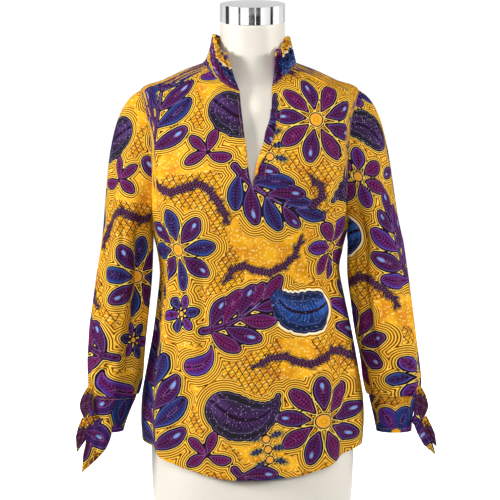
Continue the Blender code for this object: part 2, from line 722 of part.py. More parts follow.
def make_cap_and_stand():
    """Chrome neck cap, and the short pole and round base that the form stands on."""
    neck = FORM_RINGS[-1]
    seat_y = (neck.back - neck.front) / 2
    tilt = math.radians(NECK_TILT_DEG)
    seat_z = neck.height + seat_y * math.tan(tilt) + FACE_GAP
    make_round("form_cap", CAP_RADIUS, CAP_HEIGHT, (0.0, seat_y, seat_z), "chrome", CAP_EDGE, NECK_TILT_DEG)
    pole_height = FORM_RINGS[0].height - BASE_THICKNESS - 2 * FACE_GAP
    make_round("form_pole", POLE_RADIUS, pole_height, (0.0, 0.0, BASE_THICKNESS + FACE_GAP), "steel")
    make_round("form_base", BASE_RADIUS, BASE_THICKNESS, (0.0, 0.0, 0.0), "steel", BASE_EDGE)


def main():
    clear_scene()
    make_form()
    make_cap_and_stand()
    make_front()
    make_back()
    make_facing()
    make_collar()
    for side in ("left", "right"):
        make_sleeve(side)
        make_cuff(side)
        make_ties(side)


main()
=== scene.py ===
"""Blouse of printed cotton on a limbless dress form, in a plain light studio.

Metres, +Z up. The blouse faces -Y and the wearer's left is +X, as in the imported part, whose
rings, stations and fold tables are repeated here for the finer cloth.
"""

import math
from collections import namedtuple

import bpy
import numpy as np
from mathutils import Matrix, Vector


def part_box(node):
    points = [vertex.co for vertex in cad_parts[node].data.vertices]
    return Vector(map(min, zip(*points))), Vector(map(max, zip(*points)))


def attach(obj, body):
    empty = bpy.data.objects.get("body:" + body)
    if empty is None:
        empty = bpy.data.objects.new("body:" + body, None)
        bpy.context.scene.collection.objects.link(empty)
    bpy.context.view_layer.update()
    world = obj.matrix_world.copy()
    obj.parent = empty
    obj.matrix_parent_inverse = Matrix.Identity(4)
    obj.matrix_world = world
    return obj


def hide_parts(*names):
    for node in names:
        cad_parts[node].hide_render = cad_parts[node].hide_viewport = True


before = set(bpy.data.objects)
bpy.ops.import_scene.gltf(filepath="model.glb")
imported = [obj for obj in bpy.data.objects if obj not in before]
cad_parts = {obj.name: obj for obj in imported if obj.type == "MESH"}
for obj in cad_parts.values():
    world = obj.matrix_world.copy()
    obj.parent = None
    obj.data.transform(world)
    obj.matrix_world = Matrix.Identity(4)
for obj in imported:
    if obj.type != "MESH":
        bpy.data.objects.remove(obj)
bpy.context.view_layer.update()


# Dress form: a smooth moulded torso with a neck and no limbs, of glass fibre with a sprayed
# off-white eggshell coat. It is one hollow casting in the real thing and stands on a pole.


def linear(hex_colour):
    """An sRGB hex colour as linear red, green, blue and alpha."""
    parts = [int(hex_colour[i : i + 2], 16) / 255 for i in (1, 3, 5)]
    return (*(c / 12.92 if c <= 0.04045 else ((c + 0.055) / 1.055) ** 2.4 for c in parts), 1.0)


def set_inputs(node, inputs):
    """Links each of a node's sockets that is given another node's, and sets the others."""
    for socket, value in inputs.items():
        if isinstance(value, bpy.types.NodeSocket):
            node.id_data.links.new(value, node.inputs[socket])
        else:
            node.inputs[socket].default_value = value


def add_node(tree, kind, inputs=None, **settings):
    """Adds a shader node with its settings and links, and gives its first output back."""
    node = tree.nodes.new("ShaderNode" + kind)
    for name, value in settings.items():
        setattr(node, name, value)
    set_inputs(node, inputs or {})
    return node.outputs[0]


def layered(tree, under, layers):
    """Lays colours over one another: each layer is a mask from 0 to 1 and a colour."""
    for mask, colour in layers:
        mixed = add_node(tree, "Mix", {0: mask, 6: under, 7: colour}, data_type="RGBA")
        under = mixed.node.outputs[2]
    return under


def new_material(name):
    """An empty node material with its surface shader and that shader's tree."""
    made = bpy.data.materials.new(name)
    made.use_nodes = True
    return made, made.node_tree, made.node_tree.nodes["Principled BSDF"]


def new_object(name, data):
    made = bpy.data.objects.new(name, data)
    bpy.context.scene.collection.objects.link(made)
    return made


def deselect_all():
    for obj in bpy.context.selected_objects:
        obj.select_set(False)


def merged_copy(node_name, name):
    """A copy of a CAD node's mesh with its triangles welded and joined to quads."""
    deselect_all()
    piece = new_object(name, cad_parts[node_name].data.copy())
    piece.data.materials.clear()
    bpy.context.view_layer.objects.active = piece
    piece.select_set(True)
    bpy.ops.object.mode_set(mode="EDIT")
    bpy.ops.mesh.select_all(action="SELECT")
    bpy.ops.mesh.remove_doubles(threshold=1e-5)
    bpy.ops.mesh.tris_convert_to_quads(face_threshold=math.pi, shape_threshold=math.pi)
    bpy.ops.object.mode_set(mode="OBJECT")
    return piece


def stands_for(piece, node_name):
    """The piece rides with the part's one body, in place of a CAD node."""
    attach(piece, "root")
    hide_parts(node_name)


def select_ends(piece, low, high):
    """Selects the faces that close a piece's two ends."""
    for face in piece.data.polygons:
        heights = [piece.data.vertices[i].co.z for i in face.vertices]
        face.select = abs(face.normal.z) > 0.9 and (max(heights) < low or min(heights) > high)


# Sprayed eggshell paint: soft sheen, with a faint orange-peel of 0.7 mm and a tone that is
# slightly uneven over some 110 mm.
eggshell, tree, shader = new_material("off-white eggshell paint")
place = add_node(tree, "TexCoord").node.outputs["Object"]
cloudy = add_node(tree, "TexNoise", {"Vector": place, "Scale": 9.0, "Detail": 3.0})
tone = layered(tree, linear("#e7e1d5"), ((cloudy, linear("#ddd5c7")),))
peel = add_node(tree, "TexNoise", {"Vector": place, "Scale": 1400.0, "Detail": 1.0})
bump = add_node(tree, "Bump", {"Height": peel, "Strength": 0.12, "Distance": 0.0002})
set_inputs(shader, {"Base Color": tone, "Normal": bump, "Roughness": 0.42, "IOR": 1.48})

# Both ends are made one flat face again, with two close rings inside it that keep its edge crisp.
FORM_FOOT, FORM_NECK = 0.137, 1.02
EDGE_INSETS = (0.0012, 0.004)
dress_form = merged_copy("form_torso", "dress_form")
bpy.ops.object.mode_set(mode="EDIT")
bpy.ops.mesh.select_all(action="DESELECT")
bpy.ops.object.mode_set(mode="OBJECT")
select_ends(dress_form, FORM_FOOT, FORM_NECK)
bpy.ops.object.mode_set(mode="EDIT")
bpy.ops.mesh.dissolve_faces()
for inset in EDGE_INSETS:
    bpy.ops.mesh.inset(thickness=inset, use_individual=True)
bpy.ops.object.mode_set(mode="OBJECT")
smoothing = dress_form.modifiers.new("Smooth", "SUBSURF")
smoothing.levels = smoothing.render_levels = 2
bpy.ops.object.modifier_apply(modifier="Smooth")
bpy.ops.object.shade_smooth_by_angle(angle=math.radians(50))
dress_form.data.materials.append(eggshell)
stands_for(dress_form, "form_torso")


# Neck cap, pole and base: a chromed cap that closes the neck, and a brushed steel pole in a
# round steel plate. Each is turned metal with a small rounded edge.

DOME_STEPS = (0.15, 0.225, 0.25)


def turned_disc(name, node_name, sides, edge, dome, tilt_deg):
    """An upright turned piece of a CAD node's size, with rounded edges. Three rings raise its top
    to a slight dome."""
    deselect_all()
    low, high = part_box(node_name)
    middle = [(a + b) / 2 for a, b in zip(low, high)]
    tilt = math.radians(tilt_deg)
    radius = (high[0] - low[0]) / 2
    height = ((high[2] - low[2]) - 2 * radius * math.sin(tilt)) / math.cos(tilt)
    bpy.ops.mesh.primitive_cylinder_add(vertices=sides, radius=radius, depth=height, location=middle)
    piece = bpy.context.object
    piece.name = piece.data.name = name
    bpy.ops.object.mode_set(mode="EDIT")
    bpy.ops.mesh.select_all(action="DESELECT")
    bpy.ops.object.mode_set(mode="OBJECT")
    for face in piece.data.polygons:
        face.select = abs(face.normal.z) > 0.9
    bpy.ops.object.mode_set(mode="EDIT")
    bpy.ops.mesh.region_to_loop()
    bpy.ops.mesh.bevel(offset=edge, segments=4, affect="EDGES")
    bpy.ops.mesh.select_all(action="DESELECT")
    bpy.ops.object.mode_set(mode="OBJECT")
    for face in piece.data.polygons:
        face.select = face.normal.z > 0.999 and face.center.z > 0
    bpy.ops.object.mode_set(mode="EDIT")
    for share in DOME_STEPS:
        bpy.ops.mesh.inset(thickness=(radius - edge) * share)
        bpy.ops.transform.translate(value=(0.0, 0.0, dome))
    bpy.ops.mesh.select_all(action="SELECT")
    if tilt_deg:
        bpy.ops.transform.rotate(value=-tilt, orient_axis="X", center_override=middle)
    bpy.ops.object.mode_set(mode="OBJECT")
    bpy.ops.object.transform_apply(location=True, rotation=True, scale=True)
    bpy.ops.object.shade_smooth_by_angle(angle=math.radians(35))
    return piece


# Chrome plate: a clear dark-and-light mirror with a slight smear from handling.
chrome, tree, shader = new_material("polished chrome plate")
place = add_node(tree, "TexCoord").node.outputs["Object"]
smear = add_node(tree, "TexNoise", {"Vector": place, "Scale": 45.0, "Detail": 4.0})
gloss = add_node(tree, "MapRange", {0: smear, 1: 0.35, 2: 0.7, 3: 0.05, 4: 0.13})
set_inputs(shader, {"Base Color": linear("#d5d6d8"), "Metallic": 1.0, "Roughness": gloss})

# Brushed steel: rings 1.2 mm apart left by turning, greyer and duller than the chrome.
steel, tree, shader = new_material("brushed steel")
place = add_node(tree, "TexCoord").node.outputs["Object"]
rings = add_node(tree, "TexWave", {"Vector": place, "Scale": 260.0, "Distortion": 0.4},
                 wave_type="RINGS", rings_direction="Z")
bump = add_node(tree, "Bump", {"Height": rings, "Strength": 0.15, "Distance": 0.0002})
dull = add_node(tree, "MapRange", {0: rings, 3: 0.26, 4: 0.38})
set_inputs(shader, {"Base Color": linear("#a9abae"), "Metallic": 1.0, "Normal": bump, "Roughness": dull})

Turned = namedtuple("Turned", "name node sides edge dome tilt_deg finish slot")
for disc in (
    Turned("neck_cap", "form_cap", 96, 0.0025, 0.0004, 8.0, chrome, "chrome"),
    Turned("stand_pole", "form_pole", 64, 0.0006, 0.0, 0.0, steel, "steel"),
    Turned("stand_base", "form_base", 160, 0.0020, 0.0, 0.0, steel, "steel"),
):
    piece = turned_disc(disc.name, disc.node, disc.sides, disc.edge, disc.dome, disc.tilt_deg)
    piece.data.materials.append(disc.finish)
    stands_for(piece, disc.node)


# Printed cotton: a plain-woven cotton, wax-resist printed on both faces. Leaf branches, round
# blossoms, paisleys and winding sprigs in purple, blue and charcoal lie on a golden ground, each
# ringed by fine echo lines. Sizes are in millimetres on the flat cloth, in one repeating tile.

REPEAT = (500.0, 520.0)
LEAF_ROUND = (0.12, 0.50, 0.90, 1.00, 0.62)
LEAF_POINTED = (0.15, 0.80, 1.00, 0.66, 0.06)
PAISLEY = (0.95, 1.00, 0.86, 0.60, 0.30, 0.06)
SCALLOPED = ("charcoal", "navy")
SCALLOP_PITCH, SCALLOP_DEPTH = 15.0, 2.8
STEM_HALF_WIDTH, STEM_TAPER = 7.0, 0.22

# Edge and core colour of each kind of motif, then how it is filled: 1 for a barbed core and 2
# for one with a pale drop at its end, white dots, a fern's cut edge, and a cream rim round it.
Dye = namedtuple("Dye", "edge core barbs dots fern rim")
DYES = {
    "purple": Dye("#34174f", "#6c1e60", 2.0, 0.0, 0.0, 0.0),
    "violet": Dye("#432780", "#7d1f6e", 1.0, 0.0, 0.0, 0.0),
    "blue": Dye("#14356f", "#46256c", 1.0, 0.0, 0.0, 0.0),
    "magenta": Dye("#43133f", "#8f2270", 1.0, 0.0, 0.0, 0.0),
    "charcoal": Dye("#1f1b26", "#4c2d63", 1.0, 0.8, 0.0, 0.0),
    "navy": Dye("#101f42", "#2a5cae", 1.0, 0.6, 0.0, 1.0),
    "wine": Dye("#280c1d", "#5f2648", 0.0, 0.0, 1.0, 0.0),
    "ink": Dye("#141a33", "#2a4478", 0.0, 0.0, 0.8, 0.0),
    "gold": Dye("#efa81f", "#f9d766", 0.0, 0.0, 0.0, 0.0),
}

Motif = namedtuple("Motif", "group dye line")
motifs = []


def step_from(x, y, heading, distance):
    way = math.radians(heading)
    return x + distance * math.cos(way), y + distance * math.sin(way)


def curved_line(x, y, heading, length, bend, steps):
    """Points and headings along a line that turns by bend degrees from its start to its end."""
    line = [(x, y, heading)]
    for _ in range(steps):
        x, y = step_from(x, y, heading + bend / steps / 2, length / steps)
        heading += bend / steps
        line.append((x, y, heading))
    return line


def next_group():
    """A number for a new motif. Shapes with one number join, with no border between them."""
    return len({motif.group for motif in motifs}) + 1


def draw_leaf(x, y, heading, length, half_width, bend, dye, outline=LEAF_ROUND, group=None):
    line = curved_line(x, y, heading, length, bend, 8)
    places = np.linspace(0, len(outline) - 1, len(line))
    widths = half_width * smooth_at(range(len(outline)), outline, places)
    shape = [(a, b, w) for (a, b, _), w in zip(line, widths)]
    motifs.append(Motif(group or next_group(), dye, shape))


def draw_disc(x, y, radius, dye, group=None):
    motifs.append(Motif(group or next_group(), dye, [(x, y, radius), (x + 0.2, y, radius)]))


def draw_branch(x, y, heading, length, bend, pairs, leaf_length, half_width, dyes):
    """A bent stem with pairs of leaves and one at its end."""
    line = curved_line(x, y, heading, length, bend, 24)
    stem = [(a, b, STEM_HALF_WIDTH - STEM_TAPER * i) for i, (a, b, _) in enumerate(line)]
    motifs.append(Motif(next_group(), "purple", stem[::2]))
    for i in range(pairs):
        share = (i + 0.45) / pairs
        a, b, way = line[round(share * 23)]
        size = 0.66 + 0.42 * math.sin(math.pi * min(0.18 + share * 0.85, 1.0))
        for side in (-1, 1):
            spread = side * (66 - 30 * share)
            draw_leaf(a, b, way + spread, leaf_length * size, half_width * size, -side * 26,
                      dyes[(i + (side > 0)) % len(dyes)])
    a, b, way = line[-1]
    draw_leaf(a, b, way, leaf_length * 0.86, half_width * 0.9, 8, dyes[0])


def draw_blossom(x, y, radius, petals, dyes, turn):
    """Petals round a ringed eye."""
    for i in range(petals):
        way = turn + 360 * i / petals
        root = step_from(x, y, way, radius * 0.24)
        draw_leaf(*root, way, radius * 0.60, radius * 1.55 / petals, 10, dyes[i % len(dyes)])
    draw_disc(x, y, radius * 0.15, "gold")


def draw_paisley(x, y, heading, length, half_width, bend, outer, inner):
    """A broad curled drop with a smaller drop inside it."""
    draw_leaf(x, y, heading, length, half_width, bend, outer, PAISLEY)
    root = step_from(x, y, heading, 1.5)
    draw_leaf(*root, heading + 4, length * 0.50, half_width * 0.40, bend * 0.6, inner, PAISLEY)


def draw_sprig(points, half_width, dye):
    """A winding stem through a few points, with small leaves on alternate sides."""
    group = next_group()
    stations = np.array(points, float)
    places = np.arange(len(stations))
    fine = np.linspace(0, len(stations) - 1, 14 * (len(stations) - 1) + 1)
    wave = np.stack([smooth_at(places, stations[:, k], fine) for k in (0, 1)], axis=1)
    share = np.linspace(0, 1, len(fine))
    widths = half_width * (0.35 + 0.65 * np.sqrt(np.sin(math.pi * np.clip(share, 0.02, 0.98))))
    motifs.append(Motif(group, dye, [(a, b, w) for (a, b), w in zip(wave, widths)]))
    for i in range(3, len(fine) - 2, 4):
        ahead = math.degrees(math.atan2(*(wave[i + 1] - wave[i - 1])[::-1]))
        side = 1 if (i // 4) % 2 else -1
        draw_leaf(*wave[i], ahead + side * 52, 15, 3.0, -side * 30, dye, LEAF_POINTED, group)


def draw_pods(x, y, heading, count, radius):
    """A row of ringed seeds between short leaves."""
    for i in range(count):
        place = i - (count - 1) / 2
        seed = step_from(x, y, heading, place * radius * 2.6)
        draw_disc(*seed, radius, "gold")
        for side in (-1, 1):
            way = heading + side * (90 - 16 * place)
            root = step_from(*seed, way, radius + 2.2)
            draw_leaf(*root, way, 22, 4.6, side * 16, "ink", LEAF_POINTED)


def smooth_at(places, values, place):
    """A smooth curve through a table's values, read at a place or an array of places."""
    places, values = np.asarray(places, float), np.asarray(values, float)
    place = np.clip(place, places[0], places[-1])
    slopes = np.gradient(values, places)
    i = np.clip(np.searchsorted(places, place, side="right") - 1, 0, len(places) - 2)
    step = places[i + 1] - places[i]
    t = (place - places[i]) / step
    rise = values[i] * (1 - t) ** 2 * (1 + 2 * t) + values[i + 1] * t**2 * (3 - 2 * t)
    bend = slopes[i] * t * (1 - t) ** 2 - slopes[i + 1] * t**2 * (1 - t)
    return rise + bend * step


draw_branch(56, 8, 80, 176, 28, 5, 68, 14.5, ("purple", "blue"))
draw_branch(494, 176, 130, 128, -34, 4, 60, 14.0, ("purple", "violet"))
draw_branch(206, 516, -52, 122, 30, 4, 58, 13.5, ("blue", "purple"))
draw_branch(150, 232, 10, 116, 36, 4, 56, 13.5, ("magenta", "purple"))
draw_blossom(352, 76, 82, 9, ("purple", "magenta"), 10)
draw_blossom(104, 370, 74, 8, ("blue", "purple"), 4)
draw_blossom(388, 372, 58, 7, ("magenta", "violet"), 20)
draw_paisley(190, 96, -44, 114, 38, 122, "charcoal", "purple")
draw_paisley(346, 268, 205, 108, 34, -120, "navy", "violet")
draw_paisley(452, 446, 118, 98, 33, 112, "charcoal", "blue")
draw_sprig(((0, 466), (50, 486), (100, 470), (148, 484), (178, 456), (196, 420)), 6.4, "wine")
draw_sprig(((236, 172), (282, 190), (330, 176), (376, 194), (420, 178), (446, 146)), 6.4, "wine")
draw_sprig(((186, 316), (214, 344), (262, 334), (302, 356), (318, 396)), 5.8, "wine")
draw_sprig(((330, 500), (350, 470), (334, 440), (352, 430)), 5.4, "wine")
draw_pods(262, 30, 100, 3, 7.0)
draw_pods(30, 268, 20, 3, 7.0)


FARTHEST, SEARCH_MARGIN = 90.0, 46.0


def print_fields(u, v):
    """For points of flat cloth in mm: how far the nearest motif is, how far the border with the
    next one is, how far along and across the motif the point lies, and the motif's dye."""
    u, v = u.ravel() % REPEAT[0], v.ravel() % REPEAT[1]
    near, far = np.full(u.size, FARTHEST), np.full(u.size, FARTHEST)
    owner, dye = np.zeros(u.size, int), np.zeros(u.size, int)
    run = np.zeros((u.size, 3))
    names = list(DYES)
    shifts = [(a * REPEAT[0], b * REPEAT[1]) for a in (-1, 0, 1) for b in (-1, 0, 1)]
    for motif in motifs:
        line = np.array(motif.line)
        steps = np.diff(line, axis=0)
        lengths = np.hypot(steps[:, 0], steps[:, 1])
        so_far = np.concatenate([[0.0], np.cumsum(lengths)])
        edge = line[:, 2].max() + SEARCH_MARGIN
        low, high = line[:, :2].min(0) - edge, line[:, :2].max(0) + edge
        for index, shift in enumerate(shifts):
            inside = (u > low[0] + shift[0]) & (u < high[0] + shift[0])
            inside &= (v > low[1] + shift[1]) & (v < high[1] + shift[1])
            chosen = np.nonzero(inside)[0]
            if not chosen.size:
                continue
            x, y = u[chosen] - shift[0], v[chosen] - shift[1]
            gap, along, across = np.full(chosen.size, 1e3), np.zeros(chosen.size), np.zeros(chosen.size)
            for start, step, length, begun in zip(line, steps, lengths, so_far):
                ahead = ((x - start[0]) * step[0] + (y - start[1]) * step[1]) / length
                aside = ((y - start[1]) * step[0] - (x - start[0]) * step[1]) / length
                slope = min(max(step[2] / length, -0.95), 0.95)
                ahead_at = np.clip(ahead + np.abs(aside) * slope / math.sqrt(1 - slope**2), 0, length)
                radius = start[2] + step[2] * ahead_at / length
                here = np.hypot(ahead - ahead_at, aside) - radius
                nearer = here < gap
                gap = np.where(nearer, here, gap)
                along = np.where(nearer, begun + ahead_at, along)
                across = np.where(nearer, aside / np.maximum(radius, 1.0), across)
            if motif.dye in SCALLOPED:
                gap = gap + 1.0 - SCALLOP_DEPTH * np.abs(np.sin(math.pi * along / SCALLOP_PITCH))
            key = motif.group * len(shifts) + index
            same = owner[chosen] == key
            first, second = near[chosen], far[chosen]
            closer = gap < first
            behind = np.where(closer, first, np.minimum(second, gap))
            far[chosen] = np.where(same, second, behind)
            taken = chosen[closer]
            near[taken] = gap[closer]
            owner[taken] = key
            dye[taken] = names.index(motif.dye)
            run[taken, 0] = (along / so_far[-1])[closer]
            run[taken, 1] = across[closer]
            run[taken, 2] = along[closer]
    return near, (far - near) / 2, run, dye


# Smaller motifs fill the widest gaps one after another, each sized to the room that is left.
grid_u, grid_v = np.meshgrid(np.arange(0, REPEAT[0], 10.0), np.arange(0, REPEAT[1], 10.0))
for count in range(5):
    room = print_fields(grid_u, grid_v)[0]
    widest = int(np.argmax(room))
    size = min(float(room[widest]) - 5.0, 44.0)
    x, y = float(grid_u.ravel()[widest]), float(grid_v.ravel()[widest])
    way = 47.0 * count
    if count % 4 == 0:
        draw_blossom(x, y, size, 6, ("violet", "blue"), way)
    elif count % 4 == 1:
        for spread in (-128, -42, 42, 128):
            draw_leaf(x, y, way + spread, size, size * 0.24, spread * 0.25, "purple")
    elif count % 4 == 2:
        draw_paisley(x - size * 0.45, y, 0, size * 1.5, size * 0.42, 100, "violet", "magenta")
    else:
        for spread in (-60, 0, 60, 180):
            draw_leaf(x, y, way + spread, size, size * 0.26, spread * 0.3, "magenta")


def banded_ramp(tree, value, low, high, bands):
    """A ramp with hard steps: its colour, and how opaque it is."""
    share = add_node(tree, "MapRange", {0: value, 1: low, 2: high})
    ramp = add_node(tree, "ValToRGB", {0: share}).node
    ramp.color_ramp.interpolation = "CONSTANT"
    stops = ramp.color_ramp.elements
    for i, (start, colour, opacity) in enumerate(bands):
        at = max(0.0, (start - low) / (high - low))
        stop = stops[i] if i < 2 else stops.new(at)
        stop.position, stop.color = at, (*linear(colour)[:3], opacity)
    return ramp.outputs[0], ramp.outputs[1]


# Bands are where each starts, its colour, and how opaque it is. Outside a motif, by distance in
# mm: outline and pale rim, then fine dark, gold and pale echo lines out to the plain ground.
ECHO_START, ECHO_PITCH, ECHO_COUNT = 2.1, 3.9, 6
OUTSIDE = [(-40.0, "#1d0d17", 0.0), (-0.9, "#1a0b15", 1.0), (0.9, "#f7d565", 1.0)]
for i in range(ECHO_COUNT):
    line_at = ECHO_START + ECHO_PITCH * i
    for after, shade in ((0.0, "#2a1208"), (1.15, "#dc8e0c"), (1.7, "#f6d052"), (3.1, "#dc8e0c")):
        OUTSIDE.append((line_at + after, shade, 1.0))
OUTSIDE.append((ECHO_START + ECHO_PITCH * ECHO_COUNT, "#32150a", 0.0))
# The rings inside a motif, by depth below its edge.
INSIDE = ((0.0, "#1a0b15", 1.0), (0.9, "#8f7cc0", 0.0), (2.0, "#a58fd6", 0.30), (2.7, "#140a18", 0.0),
          (7.4, "#140a18", 0.45), (8.2, "#140a18", 0.0), (13.0, "#a58fd6", 0.30), (13.8, "#140a18", 0.0))


def make_print(name, ground, ground_deep, fleck, ruling="#3b2216", echo_least=9.0, echo_most=22.0):
    """Wax-printed cotton: crisp dyed shapes, a dry soft sheen and a fine weave."""
    made, tree, shader = new_material(name)
    cloth = add_node(tree, "UVMap", uv_map="cloth")
    body = add_node(tree, "Attribute", attribute_name="print_edge").node.outputs["Color"]
    tip = add_node(tree, "Attribute", attribute_name="print_core").node.outputs["Color"]
    parts = {}
    for label in ("print_near", "print_run", "print_inner"):
        value = add_node(tree, "Attribute", attribute_name=label).node.outputs["Vector"]
        parts[label] = add_node(tree, "SeparateXYZ", {0: value}).node.outputs
    gap, border, rim = parts["print_near"]
    along, across, along_mm = parts["print_run"]
    barbs, dots, fern = parts["print_inner"]

    # A ripple slants out from each motif's middle line. It barbs the core of a leaf and cuts the
    # edge of a fern.
    aside = add_node(tree, "Math", {0: across}, operation="ABSOLUTE")
    slant = add_node(tree, "Math", {0: aside, 1: -6.0, 2: along_mm}, operation="MULTIPLY_ADD")
    phase = add_node(tree, "Math", {0: slant, 1: 2 * math.pi / 5.0}, operation="MULTIPLY")
    ripple = add_node(tree, "Math", {0: phase}, operation="SINE")
    cut = add_node(tree, "Math", {0: fern, 1: 2.0}, operation="MULTIPLY")
    gap = add_node(tree, "Math", {0: ripple, 1: cut, 2: gap}, operation="MULTIPLY_ADD")

    # Ground: gold that pools darker in places some 30 mm across, with pale flecks of 4 mm where
    # the wax resisted the dye.
    pool = add_node(tree, "TexNoise", {"Vector": cloth, "Scale": 34.0, "Detail": 3.0})
    pooled = add_node(tree, "MapRange", {0: pool, 1: 0.40, 2: 0.66})
    speck = add_node(tree, "TexNoise", {"Vector": cloth, "Scale": 230.0, "Detail": 1.0})
    flecks = add_node(tree, "MapRange", {0: speck, 1: 0.56, 2: 0.66, 4: 0.80})
    under = layered(tree, linear(ground), ((pooled, linear(ground_deep)), (flecks, linear(fleck))))

    # Patches of crossing dark lines, 6 and 10 mm apart, on the plain ground.
    patch = add_node(tree, "TexNoise", {"Vector": cloth, "Scale": 9.0, "Detail": 0.0})
    patched = add_node(tree, "Math", {0: patch, 1: 0.50}, operation="GREATER_THAN")
    for turn_deg, spacing in ((76, 0.0058), (38, 0.0098), (-30, 0.0098)):
        turned = add_node(tree, "Mapping", {0: cloth, 2: (0.0, 0.0, math.radians(turn_deg))})
        waves = add_node(tree, "TexWave",
                         {"Vector": turned, "Scale": math.pi / (10 * spacing), "Distortion": 1.2,
                          "Detail": 1.0, "Detail Scale": 3.0})
        ruled = add_node(tree, "Math", {0: waves, 1: 0.955}, operation="GREATER_THAN")
        shown = add_node(tree, "Math", {0: ruled, 1: patched}, operation="MULTIPLY")
        under = layered(tree, under, ((shown, linear(ruling)),))
    # The echo lines run out two to five deep, and a few motifs have a cream rim inside them.
    echo, echo_shown = banded_ramp(tree, gap, -40.0, 60.0, OUTSIDE)
    spread = add_node(tree, "TexNoise", {"Vector": cloth, "Scale": 12.0, "Detail": 0.0})
    reach = add_node(tree, "MapRange", {0: spread, 1: 0.36, 2: 0.62, 3: echo_least, 4: echo_most})
    reach = add_node(tree, "MapRange", {0: fern, 3: reach, 4: 0.9})
    reached = add_node(tree, "Math", {0: gap, 1: reach}, operation="LESS_THAN")
    echoed = add_node(tree, "Math", {0: echo_shown, 1: reached}, operation="MULTIPLY")
    rim_gap = add_node(tree, "Math", {0: gap, 1: 2.6, 2: 1.7}, operation="COMPARE")
    rimmed = add_node(tree, "Math", {0: rim_gap, 1: rim}, operation="MULTIPLY")
    under = layered(tree, under, ((echoed, echo), (rimmed, linear("#f3ead2"))))

    # Inside a motif: edge colour, core, fine rings, and then its barbs and drop, dots or strokes.
    depth = add_node(tree, "Math", {0: gap, 1: -1.0}, operation="MULTIPLY")
    ring, ring_shown = banded_ramp(tree, depth, 0.0, 40.0, INSIDE)
    filled = add_node(tree, "MapRange", {0: barbs})
    core = add_node(tree, "MapRange", {0: aside, 1: 0.20, 2: 0.70, 3: 0.9, 4: 0.0})
    core_shown = add_node(tree, "Math", {0: core, 1: filled}, operation="MULTIPLY")
    cut_on = add_node(tree, "Math", {0: ripple, 1: 0.05}, operation="GREATER_THAN")
    barb_reach = add_node(tree, "MapRange", {0: aside, 1: 0.50, 2: 0.54, 3: 0.75, 4: 0.0})
    barb_on = add_node(tree, "Math", {0: barb_reach, 1: cut_on}, operation="MULTIPLY")
    barb_shown = add_node(tree, "Math", {0: barb_on, 1: filled}, operation="MULTIPLY")
    fern_shown = add_node(tree, "Math", {0: cut_on, 1: fern}, operation="MULTIPLY")
    fern_bare = add_node(tree, "Math", {0: 0.75, 1: fern_shown}, operation="MULTIPLY")
    end = add_node(tree, "MapRange", {0: along, 1: 0.70, 2: 0.98, 3: -1.0, 4: 1.0})
    end_square = add_node(tree, "Math", {0: end, 1: end}, operation="MULTIPLY")
    side = add_node(tree, "Math", {0: across, 1: 3.4}, operation="MULTIPLY")
    oval = add_node(tree, "Math", {0: side, 1: side, 2: end_square}, operation="MULTIPLY_ADD")
    drop = add_node(tree, "MapRange", {0: oval, 1: 0.15, 2: 0.85, 3: 1.0, 4: 0.0})
    dropped = add_node(tree, "MapRange", {0: barbs, 1: 1.0, 2: 2.0, 4: drop})
    midrib = add_node(tree, "Math", {0: aside, 1: 0.08}, operation="LESS_THAN")
    midrib_shown = add_node(tree, "Math", {0: midrib, 1: filled}, operation="MULTIPLY")
    seeds = add_node(tree, "TexVoronoi", {"Vector": cloth, "Scale": 260.0, "Randomness": 0.7})
    seed_on = add_node(tree, "Math", {0: seeds, 1: 0.17}, operation="LESS_THAN")
    seed_shown = add_node(tree, "Math", {0: seed_on, 1: dots}, operation="MULTIPLY")
    dyed = layered(tree, body, (
        (core_shown, tip), (barb_shown, linear("#1c0b20")), (fern_bare, tip),
        (midrib_shown, linear("#1c0b20")), (dropped, linear("#7d9edc")),
        (seed_shown, linear("#d6cde2")), (ring_shown, ring)))
    inside = add_node(tree, "Math", {0: gap, 1: 0.0}, operation="LESS_THAN")
    meet = add_node(tree, "Math", {0: border, 1: 0.75}, operation="LESS_THAN")
    close = add_node(tree, "Math", {0: gap, 1: 0.6}, operation="LESS_THAN")
    joined = add_node(tree, "Math", {0: meet, 1: close}, operation="MULTIPLY")
    colour = layered(tree, under, ((inside, dyed), (joined, linear("#1a0b15"))))

    # Plain weave, drawn at 0.6 mm a thread where the real cloth has about 0.35 mm, so it shows.
    height = 0.0
    for turn in (0.0, math.pi / 2):
        turned = add_node(tree, "Mapping", {0: cloth, 2: (0.0, 0.0, turn)})
        thread = add_node(tree, "TexWave",
                          {"Vector": turned, "Scale": math.pi / (10 * 0.0006), "Distortion": 0.6})
        height = add_node(tree, "Math", {0: thread, 1: height}, operation="ADD")
    bump = add_node(tree, "Bump", {"Height": height, "Strength": 0.25, "Distance": 0.00012})
    worn = add_node(tree, "MapRange", {0: pool, 1: 0.3, 2: 0.7, 3: 0.60, 4: 0.80})
    set_inputs(shader, {"Base Color": colour, "Normal": bump, "Roughness": worn,
                        "Specular IOR Level": 0.06})
    return made


printed_cotton = make_print("wax-printed cotton", "#f6b214", "#d9860e", "#fbe186")


